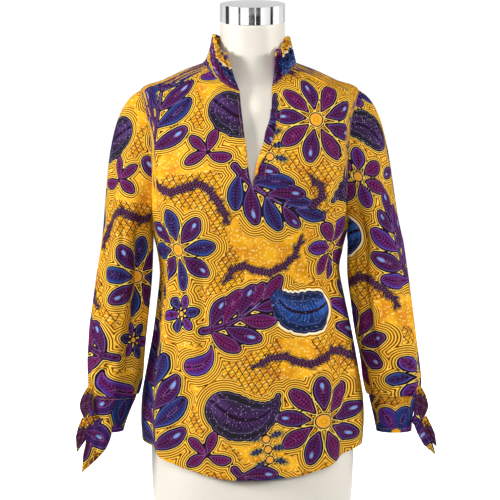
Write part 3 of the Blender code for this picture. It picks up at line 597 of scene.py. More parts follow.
def unrolled(points, start):
    """Lays a grid of cloth points flat, up and down from one level row. Metres."""
    flat = np.zeros(points.shape[:2] + (2,))
    flat[start, 1:, 0] = np.cumsum(np.linalg.norm(np.diff(points[start], axis=0), axis=1))
    for way in (1, -1):
        row = start
        while 0 <= row + way < len(points):
            line = np.gradient(points[row], axis=0)
            line /= np.maximum(np.linalg.norm(line, axis=1, keepdims=True), 1e-9)
            step = points[row + way] - points[row]
            slide = (step * line).sum(axis=1)
            rise = way * np.sqrt(np.maximum((step**2).sum(axis=1) - slide**2, 0.0))
            run = np.gradient(flat[row], axis=0)
            run /= np.maximum(np.linalg.norm(run, axis=1, keepdims=True), 1e-9)
            upright = np.stack((-run[:, 1], run[:, 0]), axis=1)
            flat[row + way] = flat[row] + slide[:, None] * run + rise[:, None] * upright
            row += way
    return flat


def lay_print(mesh, flat, corner_points, fatten):
    """Writes the print's values and the flat layout on a mesh's face corners, from flat points.
    fatten is by how many mm the motifs grow."""
    near, border, run, dye = print_fields(flat[:, 0] * 1000, flat[:, 1] * 1000)
    dyes = list(DYES.values())
    tables = {
        "print_near": np.stack((near - fatten, border, np.array([d.rim for d in dyes])[dye]), axis=1),
        "print_run": run,
        "print_inner": np.array([(d.barbs, d.dots, d.fern) for d in dyes])[dye],
    }
    for label, values in tables.items():
        layer = mesh.attributes.new(label, "FLOAT_VECTOR", "CORNER")
        layer.data.foreach_set("vector", values[corner_points].astype(np.float32).ravel())
    for label, colours in (("print_edge", [d.edge for d in dyes]), ("print_core", [d.core for d in dyes])):
        layer = mesh.attributes.new(label, "FLOAT_COLOR", "CORNER")
        shades = np.array([linear(c) for c in colours])[dye]
        layer.data.foreach_set("color", shades[corner_points].astype(np.float32).ravel())
    layout = mesh.uv_layers.new(name="cloth")
    layout.data.foreach_set("uv", flat[corner_points].astype(np.float32).ravel())


WELD_DISTANCE = 2e-6


def sew_cloth(name, grids, flats, cut_at, finish, thickness=0.0007, outwards=False, fatten=0.0):
    """One piece of cloth from grids of outer points, each with its flat layout, cut at a place of
    the printed cloth. Points that meet are welded, and the wall is given on the hidden side."""
    points = np.concatenate([grid.reshape(-1, 3) for grid, _ in grids])
    flat = np.concatenate([layout.reshape(-1, 2) for layout in flats]) + np.array(cut_at)
    corners, begun = [], 0
    for grid, flip in grids:
        rows, columns = grid.shape[:2]
        index = np.arange(rows * columns).reshape(rows, columns) + begun
        quads = np.stack((index[:-1, :-1], index[:-1, 1:], index[1:, 1:], index[1:, :-1]), axis=-1)
        quads = quads.reshape(-1, 4)
        corners.append(quads[:, ::-1] if flip else quads)
        begun += rows * columns
    corners = np.concatenate(corners)
    places = np.round(points / WELD_DISTANCE)
    _, first, welded = np.unique(places, axis=0, return_index=True, return_inverse=True)
    mesh = bpy.data.meshes.new(name)
    mesh.from_pydata(points[first].tolist(), [], welded.reshape(-1)[corners].tolist())
    lay_print(mesh, flat, corners.ravel(), fatten)
    mesh.materials.append(finish)
    piece = new_object(name, mesh)
    deselect_all()
    piece.select_set(True)
    bpy.context.view_layer.objects.active = piece
    wall = piece.modifiers.new("Wall", "SOLIDIFY")
    wall.thickness = thickness
    wall.offset = 1.0 if outwards else -1.0
    wall.use_even_offset = False
    bpy.ops.object.modifier_apply(modifier="Wall")
    bpy.ops.object.shade_smooth_by_angle(angle=math.radians(60))
    return piece


# Body of the blouse: a front panel, slit at the centre from the neck to the bust, and a back
# panel, both cut in one from shoulder to curved hem and sewn at the sides and shoulders.


def named_rows(kind, *rows):
    """A table's rows, with their columns named."""
    return tuple(kind(*row) for row in rows)


Ring = namedtuple("Ring", "height front_rise back_rise half_width front back squareness shift")
BLOUSE_RINGS = named_rows(
    Ring,
    (0.313, -0.055, -0.053, 0.1935, 0.126, 0.128, 2.3, 0.000),
    (0.345, -0.048, -0.045, 0.1960, 0.127, 0.129, 2.3, 0.000),
    (0.390, -0.031, -0.029, 0.1940, 0.128, 0.128, 2.3, 0.000),
    (0.440, -0.014, -0.013, 0.1855, 0.128, 0.124, 2.3, 0.000),
    (0.500, -0.002, -0.002, 0.1745, 0.126, 0.116, 2.3, 0.000),
    (0.550, 0.000, 0.000, 0.1660, 0.123, 0.108, 2.3, -0.002),
    (0.610, 0.000, 0.000, 0.1570, 0.121, 0.101, 2.3, -0.005),
    (0.650, 0.000, 0.000, 0.1610, 0.126, 0.102, 2.3, -0.005),
    (0.690, 0.000, 0.000, 0.1710, 0.130, 0.107, 2.3, -0.005),
    (0.750, 0.000, 0.000, 0.1790, 0.130, 0.113, 2.3, -0.005),
    (0.810, 0.000, 0.000, 0.1830, 0.118, 0.116, 2.3, -0.005),
    (0.870, -0.006, -0.001, 0.1870, 0.101, 0.111, 2.15, -0.005),
    (0.9222, -0.026, -0.008, 0.1900, 0.085, 0.099, 1.80, -0.005),
    (0.9405, -0.034, -0.006, 0.1500, 0.081, 0.087, 1.85, -0.005),
    (0.957, -0.041, -0.005, 0.1150, 0.078, 0.077, 1.92, -0.005),
    (0.970, -0.051, -0.005, 0.0805, 0.0755, 0.067, 2.0, -0.005),
)
WAIST, UNDERARM, SHOULDER_TIP, NECK = 6, 8, 12, 15
ARMHOLE_FRONT_DEG, ARMHOLE_BACK_DEG = 23.0, 22.0

# Folds of the body: angles in degrees from the centre front, positive to the wearer's left, at
# the low and the high end, the heights of those ends, half width in degrees, and relief. The
# wide ones are the drape, the narrow ones the creases that lie on it.
Fold = namedtuple("Fold", "low_deg high_deg low high half_width_deg relief")
BODY_FOLDS = named_rows(
    Fold,
    (-64, -76, 0.20, 0.66, 7.0, -0.0085), (-47, -58, 0.20, 0.60, 7.0, 0.0059),
    (-28, -36, 0.16, 0.50, 7.0, -0.0059), (-8, -14, 0.16, 0.44, 7.5, 0.0051),
    (14, 10, 0.16, 0.46, 7.0, -0.0051), (34, 42, 0.16, 0.56, 7.0, 0.0059),
    (52, 66, 0.20, 0.68, 6.5, -0.0101), (70, 80, 0.22, 0.58, 6.0, 0.0034),
    (-22, -31, 0.40, 0.70, 4.2, -0.0052), (-30, -42, 0.44, 0.74, 4.0, 0.0042),
    (-42, -56, 0.34, 0.70, 3.6, -0.0055), (4, -6, 0.30, 0.56, 4.6, -0.0042),
    (20, 28, 0.34, 0.62, 4.2, -0.0045), (30, 46, 0.40, 0.72, 4.0, 0.0045),
    (40, 56, 0.30, 0.66, 3.8, -0.0057), (-12, -22, 0.20, 0.46, 4.4, -0.0045),
    (26, 18, 0.18, 0.44, 4.2, 0.0040), (-36, -30, 0.18, 0.42, 4.2, 0.0042),
    (-40, -18, 0.66, 0.80, 9.0, -0.0042), (44, 24, 0.66, 0.78, 9.0, -0.0042),
    (112, 106, 0.20, 0.64, 7.0, -0.0085), (134, 128, 0.20, 0.58, 8.0, 0.0068),
    (158, 164, 0.16, 0.66, 8.0, -0.0068), (180, 178, 0.16, 0.56, 8.0, 0.0051),
    (203, 198, 0.16, 0.68, 8.0, -0.0076), (226, 232, 0.20, 0.58, 8.0, 0.0068),
    (250, 256, 0.20, 0.66, 7.0, -0.0085),
)
BODY_CREASES = named_rows(
    Fold,
    (-70, -62, 0.50, 0.79, 2.6, -0.0051), (-60, -44, 0.56, 0.77, 2.2, 0.0030),
    (-74, -84, 0.40, 0.60, 2.4, -0.0046), (-55, -68, 0.44, 0.63, 2.0, -0.0030),
    (-35, -30, 0.30, 0.46, 2.6, -0.0029), (-20, -26, 0.24, 0.40, 2.4, 0.0022),
    (-68, -48, 0.72, 0.86, 2.2, -0.0042), (-58, -36, 0.80, 0.89, 2.4, -0.0026),
    (-5, -2, 0.54, 0.74, 2.2, -0.0026), (6, 15, 0.48, 0.66, 2.4, 0.0021),
    (24, 30, 0.24, 0.42, 2.6, -0.0026), (46, 40, 0.34, 0.50, 2.2, 0.0022),
    (60, 72, 0.46, 0.66, 2.2, -0.0046), (74, 86, 0.38, 0.58, 2.4, -0.0042),
    (66, 58, 0.52, 0.80, 2.4, -0.0056), (56, 40, 0.58, 0.76, 2.2, 0.0029),
    (68, 46, 0.74, 0.87, 2.2, -0.0042), (54, 34, 0.80, 0.90, 2.6, -0.0026),
    (-84, -78, 0.58, 0.76, 2.4, 0.0030), (84, 77, 0.60, 0.78, 2.4, 0.0030),
    (104, 116, 0.50, 0.78, 2.6, -0.0051), (118, 132, 0.56, 0.80, 2.2, -0.0035),
    (126, 140, 0.34, 0.52, 2.4, -0.0034), (146, 152, 0.44, 0.66, 2.2, 0.0026),
    (150, 144, 0.22, 0.40, 2.4, -0.0026), (168, 172, 0.46, 0.70, 2.4, -0.0034),
    (176, 186, 0.28, 0.48, 2.6, -0.0026), (190, 186, 0.48, 0.76, 2.4, 0.0026),
    (212, 206, 0.40, 0.64, 2.2, -0.0034), (220, 234, 0.24, 0.44, 2.4, -0.0029),
    (238, 226, 0.54, 0.80, 2.4, -0.0043), (252, 240, 0.58, 0.79, 2.2, -0.0038),
    (262, 254, 0.36, 0.56, 2.4, -0.0034), (120, 150, 0.82, 0.92, 2.6, -0.0021),
    (240, 212, 0.81, 0.92, 2.6, -0.0022),
)
FOLD_FADE = 0.09
CREASE_FADE = 0.05
CRISP = 1.4

Slit = namedtuple("Slit", "height right left")
SLIT = named_rows(
    Slit,
    (0.761, 0.0000, 0.0000), (0.776, -0.0044, 0.0036), (0.799, -0.0079, 0.0076),
    (0.815, -0.0095, 0.0124), (0.831, -0.0112, 0.0183), (0.855, -0.0148, 0.0235),
    (0.875, -0.0172, 0.0305), (0.890, -0.0190, 0.0322), (0.922, -0.0223, 0.0330),
)
CLOTH_STEP = 0.0031
HEM_WIDTH = 0.008
SEAM_DIP, SEAM_REACH = 0.0007, 0.0028
HEM_RELIEF = 0.0006


def column(table, name):
    return [getattr(row, name) for row in table]


def along(table, key, name, place):
    """A table's column read at a place along its key column."""
    return smooth_at(column(table, key), column(table, name), place)


def ease(t):
    t = np.clip(t, 0.0, 1.0)
    return t * t * (3 - 2 * t)


def ring_points(rings, angle_deg, level, relief=0.0):
    """Points on rings. Angle 0 is the centre front, 90 the wearer's left, 180 the back."""
    levels = range(len(rings))
    ring = Ring(*(smooth_at(levels, column(rings, name), level) for name in Ring._fields))
    across, ahead = np.sin(np.radians(angle_deg)), np.cos(np.radians(angle_deg))
    power = 2 / ring.squareness
    depth = np.where(ahead > 0, ring.front, ring.back)
    rise = np.where(ahead > 0, ring.front_rise, ring.back_rise)
    x = np.sign(across) * np.abs(across) ** power * ring.half_width + ring.shift
    y = -np.sign(ahead) * np.abs(ahead) ** power * depth
    z = ring.height + rise * ahead**2
    return np.stack((x + relief * across, y - relief * ahead, z), axis=-1)


def fold_relief(folds, angle_deg, height, fade, crispness=2.0):
    """How far the folds lift or sink the cloth at an angle and a height."""
    total = np.zeros(np.broadcast(angle_deg, height).shape)
    for fold in folds:
        share = np.clip((height - fold.low) / (fold.high - fold.low), 0.0, 1.0)
        middle = fold.low_deg + (fold.high_deg - fold.low_deg) * share
        away = (angle_deg - middle + 180.0) % 360.0 - 180.0
        ends = min(fade, 0.45 * (fold.high - fold.low))
        reach = ease((fold.high - height) / ends) * ease((height - fold.low) / ends)
        total += fold.relief * np.exp(-(np.abs(away / fold.half_width_deg) ** crispness)) * reach
    return total


def blouse_points(angle_deg, level, lift=0.0):
    """Points of the blouse's body with its drape and creases."""
    height = ring_points(BLOUSE_RINGS, angle_deg, level)[..., 2]
    relief = fold_relief(BODY_FOLDS, angle_deg, height, FOLD_FADE) + lift
    relief = relief + fold_relief(BODY_CREASES, angle_deg, height, CREASE_FADE, CRISP)
    return ring_points(BLOUSE_RINGS, angle_deg, level, relief)


def angle_of_x(x, level):
    """The angle on the front at which a blouse ring has this x."""
    levels = range(len(BLOUSE_RINGS))
    shift, half_width, squareness = (
        smooth_at(levels, column(BLOUSE_RINGS, name), level)
        for name in ("shift", "half_width", "squareness"))
    share = np.abs(x - shift) / half_width
    return np.sign(x - shift) * np.degrees(np.arcsin(share ** (squareness / 2)))


def slit_angle(level, edge):
    height = ring_points(BLOUSE_RINGS, 0.0, level)[..., 2]
    return angle_of_x(along(SLIT, "height", edge, height), level)


def armhole_share(level):
    """How far round the armhole's side a level lies: 0 at the underarm, 1 at the shoulder tip."""
    turn = np.clip((level - UNDERARM) / (SHOULDER_TIP - UNDERARM), 0.0, 1.0)
    return np.arccos(1 - 2 * turn) / math.pi


def armhole_angle(share, reach_deg):
    """How far an armhole reaches in from the side, at a share of its height's turn."""
    return reach_deg * np.maximum(np.sin(math.pi * share), 0.0) ** 0.9


def path_length(points):
    """How far along a path each of its points lies."""
    return np.concatenate([[0.0], np.cumsum(np.linalg.norm(np.diff(points, axis=0), axis=1))])


def even_levels(angle_deg, low, high, step):
    """Levels from low to high that are about a step apart along the cloth at an angle."""
    fine = np.linspace(low, high, 2000)
    length = path_length(ring_points(BLOUSE_RINGS, angle_deg, fine))
    return np.interp(np.linspace(0, length[-1], max(2, round(length[-1] / step) + 1)), length, fine)


def level_at_height(height):
    fine = np.linspace(0, NECK, 4000)
    return float(np.interp(height, ring_points(BLOUSE_RINGS, 0.0, fine)[:, 2], fine))


# Rows are close at the rolled hem, where its turned edge and its row of stitching show. The
# stitching lies at a share of the hem's width.
STITCH_SHARE = 0.86
hem_top = float(even_levels(90.0, 0, 1, HEM_WIDTH)[1])
hem_levels = np.linspace(0, 1.5 * hem_top, 9)
slit_level = level_at_height(SLIT[0].height)
panel_levels = {}
for panel, stretches in (
    ("front", ((60.0, slit_level), (60.0, SHOULDER_TIP), (80.0, NECK))),
    ("back", ((120.0, SHOULDER_TIP), (100.0, NECK))),
):
    rows = [hem_levels]
    for angle_deg, high in stretches:
        rows.append(even_levels(angle_deg, rows[-1][-1], high, CLOTH_STEP))
    panel_levels[panel] = np.unique(np.concatenate(rows))


def edge_dip(distance):
    """The valley that a sewn seam draws along a panel's edge."""
    return -SEAM_DIP * np.exp(-((distance / SEAM_REACH) ** 2))


def hem_lift(levels):
    """The rolled hem stands proud by its fold and dips where it is stitched."""
    share = levels / hem_top
    fold = HEM_RELIEF * (1 - ease((share - 0.92) / 0.2))
    return fold - HEM_RELIEF * np.exp(-(((share - STITCH_SHARE) / 0.14) ** 2))


def panel_grid(levels, inner_deg, outer_deg, columns):
    """A panel between two edge angles at each level: where each point lies on the rings, the same
    laid flat, how far its edges lift it, and how far it is from its inner edge."""
    share = np.linspace(0, 1, columns + 1)[None, :]
    angle = inner_deg[:, None] + (outer_deg - inner_deg)[:, None] * share
    level = np.broadcast_to(levels[:, None], angle.shape)
    plain = ring_points(BLOUSE_RINGS, angle, level)
    flat = unrolled(plain, int(np.argmin(np.abs(levels - WAIST))))
    width = np.linalg.norm(np.diff(plain, axis=1), axis=2).sum(axis=1, keepdims=True)
    lift = edge_dip((1 - share) * width) + hem_lift(level)
    return angle, level, flat, lift, share * width


FRONT_COLUMNS = 96
grids, flats = [], []
levels = panel_levels["front"]
for sign, edge in ((1, "left"), (-1, "right")):
    outer = sign * (90.0 - armhole_angle(armhole_share(levels), ARMHOLE_FRONT_DEG))
    angle, level, flat, lift, _ = panel_grid(levels, slit_angle(levels, edge), outer, FRONT_COLUMNS)
    flat[..., 0] *= sign
    grids.append((blouse_points(angle, level, lift), sign < 0))
    flats.append(flat)
front_panel = sew_cloth("front_panel", grids, flats, (0.236, 0.330), printed_cotton)
stands_for(front_panel, "front")

BACK_COLUMNS = 188
levels = panel_levels["back"]
inset = armhole_angle(armhole_share(levels), ARMHOLE_BACK_DEG)
angle, level, flat, lift, away = panel_grid(levels, 90.0 + inset, 270.0 - inset, BACK_COLUMNS)
points = blouse_points(angle, level, lift + edge_dip(away))
back_panel = sew_cloth("back_panel", [(points, False)], [flat], (0.020, 0.110), printed_cotton)
stands_for(back_panel, "back")


# Neck facing: a narrow strip of the same cloth that lines the slit. It turns out over the
# front along the wearer's left edge, where its plain golden part shows.

Facing = namedtuple("Facing", "height width")
FACING = named_rows(
    Facing,
    (0.768, 0.0036), (0.799, 0.0050), (0.815, 0.0090), (0.831, 0.0115),
    (0.855, 0.0150), (0.875, 0.0085), (0.890, 0.0020),
)
FACING_LIFT, FACING_CROWN, FACING_OVERHANG = 0.0009, 0.0012, 0.0012

facing_levels = np.linspace(level_at_height(FACING[0].height), level_at_height(FACING[-1].height), 64)
heights = ring_points(BLOUSE_RINGS, 0.0, facing_levels)[:, 2]
edge_x = along(SLIT, "height", "left", heights)
widths = along(FACING, "height", "width", heights)
share = np.linspace(0, 1, 15)[None, :]
x = (edge_x - FACING_OVERHANG)[:, None] + (widths + FACING_OVERHANG)[:, None] * share
level = np.broadcast_to(facing_levels[:, None], x.shape)
points = blouse_points(angle_of_x(x, level), level, lift=FACING_CROWN * np.sin(math.pi * share) ** 2)
points[..., 1] -= FACING_LIFT
flat = np.stack((x - x[:, :1], heights[:, None] + 0 * x), axis=-1)
neck_facing = sew_cloth("neck_facing_turned", [(points, False)], [flat], (0.292, -0.420),
                        printed_cotton, thickness=0.0006, outwards=True)
stands_for(neck_facing, "neck_facing")


# Collar: one band of the printed cotton in narrow standing pleats, sewn round the neck and open
# at the centre front. It flares a little at the front ends, the right one more than the left.

Collar = namedtuple("Collar", "angle_deg height lean curve pleating")
COLLAR = named_rows(
    Collar,
    (25.0, 0.052, 0.000, 1.2, 2.1), (45.0, 0.049, -0.006, 1.1, 1.7), (70.0, 0.046, -0.012, 1.0, 1.1),
    (95.0, 0.044, -0.0147, 1.0, 0.7), (140.0, 0.044, -0.011, 1.1, 0.9), (180.0, 0.045, -0.008, 1.2, 1.0),
    (220.0, 0.046, -0.011, 1.0, 0.9), (265.0, 0.048, -0.0192, 0.6, 0.65), (300.0, 0.049, -0.013, 0.6, 0.9),
    (325.0, 0.052, 0.001, 0.9, 1.7), (343.0, 0.054, 0.010, 1.2, 2.1),
)
COLLAR_PLEATS, COLUMNS_A_PLEAT, COLLAR_ROWS = 24, 22, 19
PLEAT_AT_SEAM, PLEAT_AT_TOP, KNIFE_SHARE = 0.0008, 0.003875, 0.52
PLEAT_RIPPLE, TOP_EDGE_WAVE = 0.0004, 0.0012
LEFT_END_SLANT_DEG, RIGHT_END_SLANT_DEG = 3.0, 17.0
COLLAR_GAP = 0.0008

left_end = float(slit_angle(NECK, "left"))
right_end = 360.0 + float(slit_angle(NECK, "right"))
turn = np.linspace(0, 1, COLLAR_PLEATS * COLUMNS_A_PLEAT + 1)[None, :]
share = np.linspace(0, 1, COLLAR_ROWS)[:, None]
slant = LEFT_END_SLANT_DEG * (1 - turn) ** 6 - RIGHT_END_SLANT_DEG * turn**6
angle = left_end + (right_end - left_end) * turn + slant * share
phase = 2 * math.pi * COLLAR_PLEATS * turn
# No two pleats are quite as deep or as wide as their neighbours.
phase_drift = 0.34 * np.sin(2 * math.pi * 5.3 * turn + 0.6) + 0.22 * np.sin(2 * math.pi * 9.1 * turn)
uneven = 1.0 + 0.22 * np.sin(2 * math.pi * 7.7 * turn + 1.1) + 0.14 * np.sin(2 * math.pi * 3.1 * turn)
depth = (PLEAT_AT_SEAM + (PLEAT_AT_TOP - PLEAT_AT_SEAM) * share**0.7) * uneven
wave = phase + phase_drift * share
# Knife pleats: each rises slowly and drops back at once, with a smaller one between two others.
knife = sum((np.sin(k * wave) + 0.6 * np.sin(2 * k * wave + 1.1)) / k for k in range(1, 6))
pleat = KNIFE_SHARE * depth * knife
pleat = pleat + PLEAT_RIPPLE * share * np.sin(2.5 * phase + 1.2)
band = Collar(angle, *(along(COLLAR, "angle_deg", name, angle) for name in Collar._fields[1:]))
out = band.lean * share**band.curve + pleat * band.pleating
edge_wave = TOP_EDGE_WAVE * share**2 * (np.sin(phase + 0.9) + np.sin(2.3 * phase + 2.0))
rise = COLLAR_GAP / 2 + band.height * share + edge_wave * band.pleating
seat = ring_points(BLOUSE_RINGS, angle, np.full(angle.shape, float(NECK)))
way = np.radians(angle)
points = seat + np.stack((out * np.sin(way), -out * np.cos(way), rise), axis=-1)
steps = np.linalg.norm(np.diff(points, axis=1), axis=2)
around = np.concatenate([np.zeros((COLLAR_ROWS, 1)), np.cumsum(steps, axis=1)], axis=1)
flat = np.stack((around, rise), axis=-1)
collar = sew_cloth("pleated_collar", [(points, False)], [flat], (0.236, 0.268), printed_cotton, fatten=1.0)
stands_for(collar, "collar")
collar_seam = points[1]
collar_away = np.stack((np.sin(way[1]), -np.cos(way[1]), 0 * way[1]), axis=-1)


# Sleeves: set-in sleeves, each one piece with a seam under the arm. They hang in long soft
# folds, empty inside, and are drawn into small gathers where the cuff is sewn on.

Station = namedtuple("Station", "height x y half_width half_depth")
SLEEVE_STATIONS = {
    "left": named_rows(
        Station,
        (0.6600, 0.2148, -0.004, 0.0490, 0.0560), (0.6000, 0.2192, -0.007, 0.0534, 0.0540),
        (0.5500, 0.2258, -0.010, 0.0538, 0.0520), (0.5000, 0.2325, -0.015, 0.0535, 0.0500),
        (0.4500, 0.2409, -0.021, 0.0512, 0.0470), (0.4200, 0.2442, -0.025, 0.0495, 0.0430),
        (0.3935, 0.2459, -0.028, 0.0435, 0.0360),
    ),
    "right": named_rows(
        Station,
        (0.6600, 0.2180, -0.004, 0.0452, 0.0560), (0.6000, 0.2240, -0.007, 0.0490, 0.0540),
        (0.5500, 0.2297, -0.010, 0.0503, 0.0520), (0.5000, 0.2358, -0.015, 0.0511, 0.0500),
        (0.4500, 0.2395, -0.021, 0.0497, 0.0470), (0.4200, 0.2400, -0.025, 0.0462, 0.0430),
        (0.3935, 0.2420, -0.028, 0.0406, 0.0350),
    ),
}
# How boldly a cap leaves the armhole, and how far outwards it still runs where the tube begins.
CAP_LEAVE = {"left": 0.70, "right": 0.76}
CAP_ARRIVE = {"left": 0.28, "right": 0.12}
SLEEVE_GATHERS, GATHER_DEPTH, GATHER_REACH = 8, 0.0026, 0.085
FINE_GATHER_DEPTH, FINE_GATHER_REACH = 0.0011, 0.032
CUFF_SEAM_DIP, CUFF_SEAM_REACH = 0.0009, 0.003
CAP_EASE = 0.0010

# Round a sleeve 0 faces the body, 90 the front and 180 the outside.
SLEEVE_FOLDS = {
    "left": named_rows(
        Fold,
        (52, 60, 0.40, 0.86, 17.0, -0.0105), (118, 104, 0.42, 0.74, 17.0, 0.0061),
        (158, 140, 0.44, 0.66, 15.0, -0.0061), (236, 250, 0.42, 0.82, 18.0, -0.0096),
        (300, 306, 0.44, 0.72, 18.0, 0.0061),
    ),
    "right": named_rows(
        Fold,
        (46, 58, 0.40, 0.88, 18.0, -0.0123), (96, 112, 0.42, 0.70, 17.0, 0.0061),
        (150, 134, 0.42, 0.78, 15.0, -0.0070), (228, 242, 0.42, 0.84, 18.0, -0.0096),
        (290, 300, 0.44, 0.70, 18.0, 0.0061),
    ),
}
SLEEVE_CREASES = {
    "left": named_rows(
        Fold,
        (24, 96, 0.400, 0.452, 8.0, 0.0045), (70, 150, 0.398, 0.440, 8.0, -0.0054),
        (128, 62, 0.415, 0.470, 8.0, -0.0045), (168, 104, 0.405, 0.455, 8.0, 0.0042),
        (200, 262, 0.400, 0.450, 8.0, -0.0048), (310, 250, 0.404, 0.456, 8.0, 0.0045),
        (40, 74, 0.52, 0.70, 6.0, -0.0053), (66, 50, 0.44, 0.60, 5.5, -0.0043),
        (80, 96, 0.46, 0.66, 5.0, 0.0032), (100, 84, 0.40, 0.50, 5.0, -0.0039),
        (128, 116, 0.41, 0.52, 5.0, -0.0036), (150, 162, 0.46, 0.62, 6.0, 0.0029),
        (176, 168, 0.41, 0.54, 5.0, -0.0039), (24, 34, 0.46, 0.68, 6.0, -0.0043),
        (96, 120, 0.62, 0.76, 6.0, -0.0032), (210, 226, 0.46, 0.68, 6.0, -0.0040),
        (246, 232, 0.41, 0.56, 5.5, -0.0036), (272, 262, 0.46, 0.70, 6.0, 0.0033),
        (290, 276, 0.41, 0.52, 5.0, -0.0033), (322, 312, 0.44, 0.64, 6.0, -0.0043),
        (262, 240, 0.62, 0.76, 6.0, -0.0032),
    ),
    "right": named_rows(
        Fold,
        (20, 84, 0.402, 0.460, 8.0, -0.0051), (60, 132, 0.398, 0.436, 8.0, 0.0048),
        (140, 70, 0.412, 0.474, 8.0, -0.0051), (176, 118, 0.402, 0.446, 8.0, 0.0045),
        (206, 270, 0.400, 0.452, 8.0, -0.0045), (318, 262, 0.402, 0.450, 8.0, 0.0045),
        (34, 70, 0.50, 0.72, 6.0, -0.0057), (62, 46, 0.42, 0.58, 5.5, -0.0045),
        (84, 74, 0.44, 0.64, 5.0, 0.0033), (110, 96, 0.40, 0.52, 5.0, -0.0036),
        (126, 138, 0.42, 0.56, 5.0, -0.0033), (160, 146, 0.44, 0.64, 6.0, 0.0032),
        (184, 174, 0.41, 0.52, 5.0, -0.0039), (18, 30, 0.44, 0.66, 6.0, -0.0043),
        (90, 116, 0.60, 0.78, 6.0, -0.0033), (206, 220, 0.44, 0.66, 6.0, -0.0043),
        (240, 228, 0.41, 0.54, 5.5, -0.0033), (266, 276, 0.46, 0.68, 6.0, 0.0032),
        (296, 282, 0.41, 0.54, 5.0, -0.0036), (326, 316, 0.44, 0.66, 6.0, -0.0040),
        (256, 236, 0.60, 0.76, 6.0, -0.0032),
    ),
}
SLEEVE_COLUMNS, CAP_ROWS, SLEEVE_ROWS = 128, 84, 104
SLEEVE_CUT_AT = {"left": (0.330, 0.245), "right": (0.055, 0.420)}
SIDES = {"left": 1, "right": -1}


def station_at(stations, height):
    """The station at a height, which may lie between two rows of the table."""
    rising = stations[::-1]
    return Station(height, *(along(rising, "height", name, height) for name in Station._fields[1:]))


def ellipse_points(station, turn_deg, swell=0.0):
    turn = np.radians(turn_deg)
    x = station.x - (station.half_width + swell) * np.cos(turn)
    y = station.y - (station.half_depth + swell) * np.sin(turn)
    return np.stack(np.broadcast_arrays(x, y, station.height + 0 * x), axis=-1)


def sleeve_relief(side, turn_deg, height):
    """Long folds and creases, and the gathers that grow and sharpen towards the cuff."""
    low = SLEEVE_STATIONS[side][-1].height
    drawn = ease((low + GATHER_REACH - height) / GATHER_REACH)
    turn = np.radians(turn_deg)
    gather = GATHER_DEPTH * drawn * np.cos(SLEEVE_GATHERS * turn) * (1 + 0.3 * np.sin(3 * turn + 0.7))
    fine = FINE_GATHER_DEPTH * ease((low + FINE_GATHER_REACH - height) / FINE_GATHER_REACH)
    gather = gather + fine * np.cos(2 * SLEEVE_GATHERS * turn + 0.9 + 0.6 * np.sin(2 * turn))
    sewn = -CUFF_SEAM_DIP * np.exp(-(((height - low) / CUFF_SEAM_REACH) ** 2))
    creases = fold_relief(SLEEVE_CREASES[side], turn_deg, height, CREASE_FADE, CRISP)
    return fold_relief(SLEEVE_FOLDS[side], turn_deg, height, FOLD_FADE) + creases + gather + sewn


def armhole_loop(side, turn_deg):
    """Points round an armhole: 0 underarm, 90 front, 180 tip. x is outwards."""
    sign = SIDES[side]
    front = turn_deg <= 180.0
    share = np.where(front, turn_deg, 360.0 - turn_deg) / 180.0
    level = UNDERARM + (SHOULDER_TIP - UNDERARM) * (0.5 - 0.5 * np.cos(math.pi * share))
    reach = armhole_angle(share, np.where(front, ARMHOLE_FRONT_DEG, -ARMHOLE_BACK_DEG))
    return blouse_points(sign * (90.0 - reach), level, lift=-SEAM_DIP) * (sign, 1, 1)


def cap_direction(turn_deg):
    """The way the sleeve leaves the armhole: out over the shoulder, down at the underarm."""
    turn = np.radians(turn_deg)
    up, ahead = (1 - np.cos(turn)) / 2, np.sin(turn)
    way = np.stack((0.40 + 0.55 * up, -0.22 * ahead, -0.90 + 0.48 * up), axis=-1)
    return way / np.linalg.norm(way, axis=-1, keepdims=True)


def sleeve_grid(side, creased):
    """Every outer point of a sleeve, from the armhole to the cuff. x is outwards."""
    top, low = SLEEVE_STATIONS[side][0], SLEEVE_STATIONS[side][-1]
    turns = np.linspace(0, 360, SLEEVE_COLUMNS + 1)
    start = armhole_loop(side, turns)
    end = ellipse_points(top, turns, sleeve_relief(side, turns, top.height) if creased else 0.0)
    span = np.linalg.norm(end - start, axis=1, keepdims=True)
    leave = CAP_LEAVE[side] * span * cap_direction(turns)
    arrive = span * np.array((CAP_ARRIVE[side], -0.03, -1.0))
    t = np.linspace(0, 1, CAP_ROWS + 1)[:, None, None]
    cap = (start * (1 - t) ** 2 * (1 + 2 * t) + end * t**2 * (3 - 2 * t)
           + leave * t * (1 - t) ** 2 - arrive * t**2 * (1 - t))
    if creased:
        # Creases of the upper arm fade in below the seam, and the seam itself eases in a little.
        centre = np.array((top.x, top.y, 0.0))
        away = cap - centre
        away[..., 2] = 0.0
        away /= np.linalg.norm(away, axis=2, keepdims=True)
        down = t[..., 0]
        crease = fold_relief(SLEEVE_CREASES[side], turns[None, :], cap[..., 2], CREASE_FADE)
        crease = crease * ease(down * 4) * ease((1 - down) * 6)
        eased = CAP_EASE * np.exp(-(((down - 0.035) / 0.03) ** 2))
        eased = eased * (1 + 0.7 * np.sin(np.radians(turns) * 23 + 0.5))
        eased = eased * ease((turns - 90) / 60) * ease((270 - turns) / 60)
        cap = cap + away * (crease + eased)[..., None]
    heights = np.linspace(top.height, low.height, SLEEVE_ROWS + 1)[1:, None]
    station = station_at(SLEEVE_STATIONS[side], heights)
    relief = sleeve_relief(side, turns[None, :], heights) if creased else 0.0
    tube = ellipse_points(station, turns[None, :], relief)
    return np.concatenate([cap, tube])


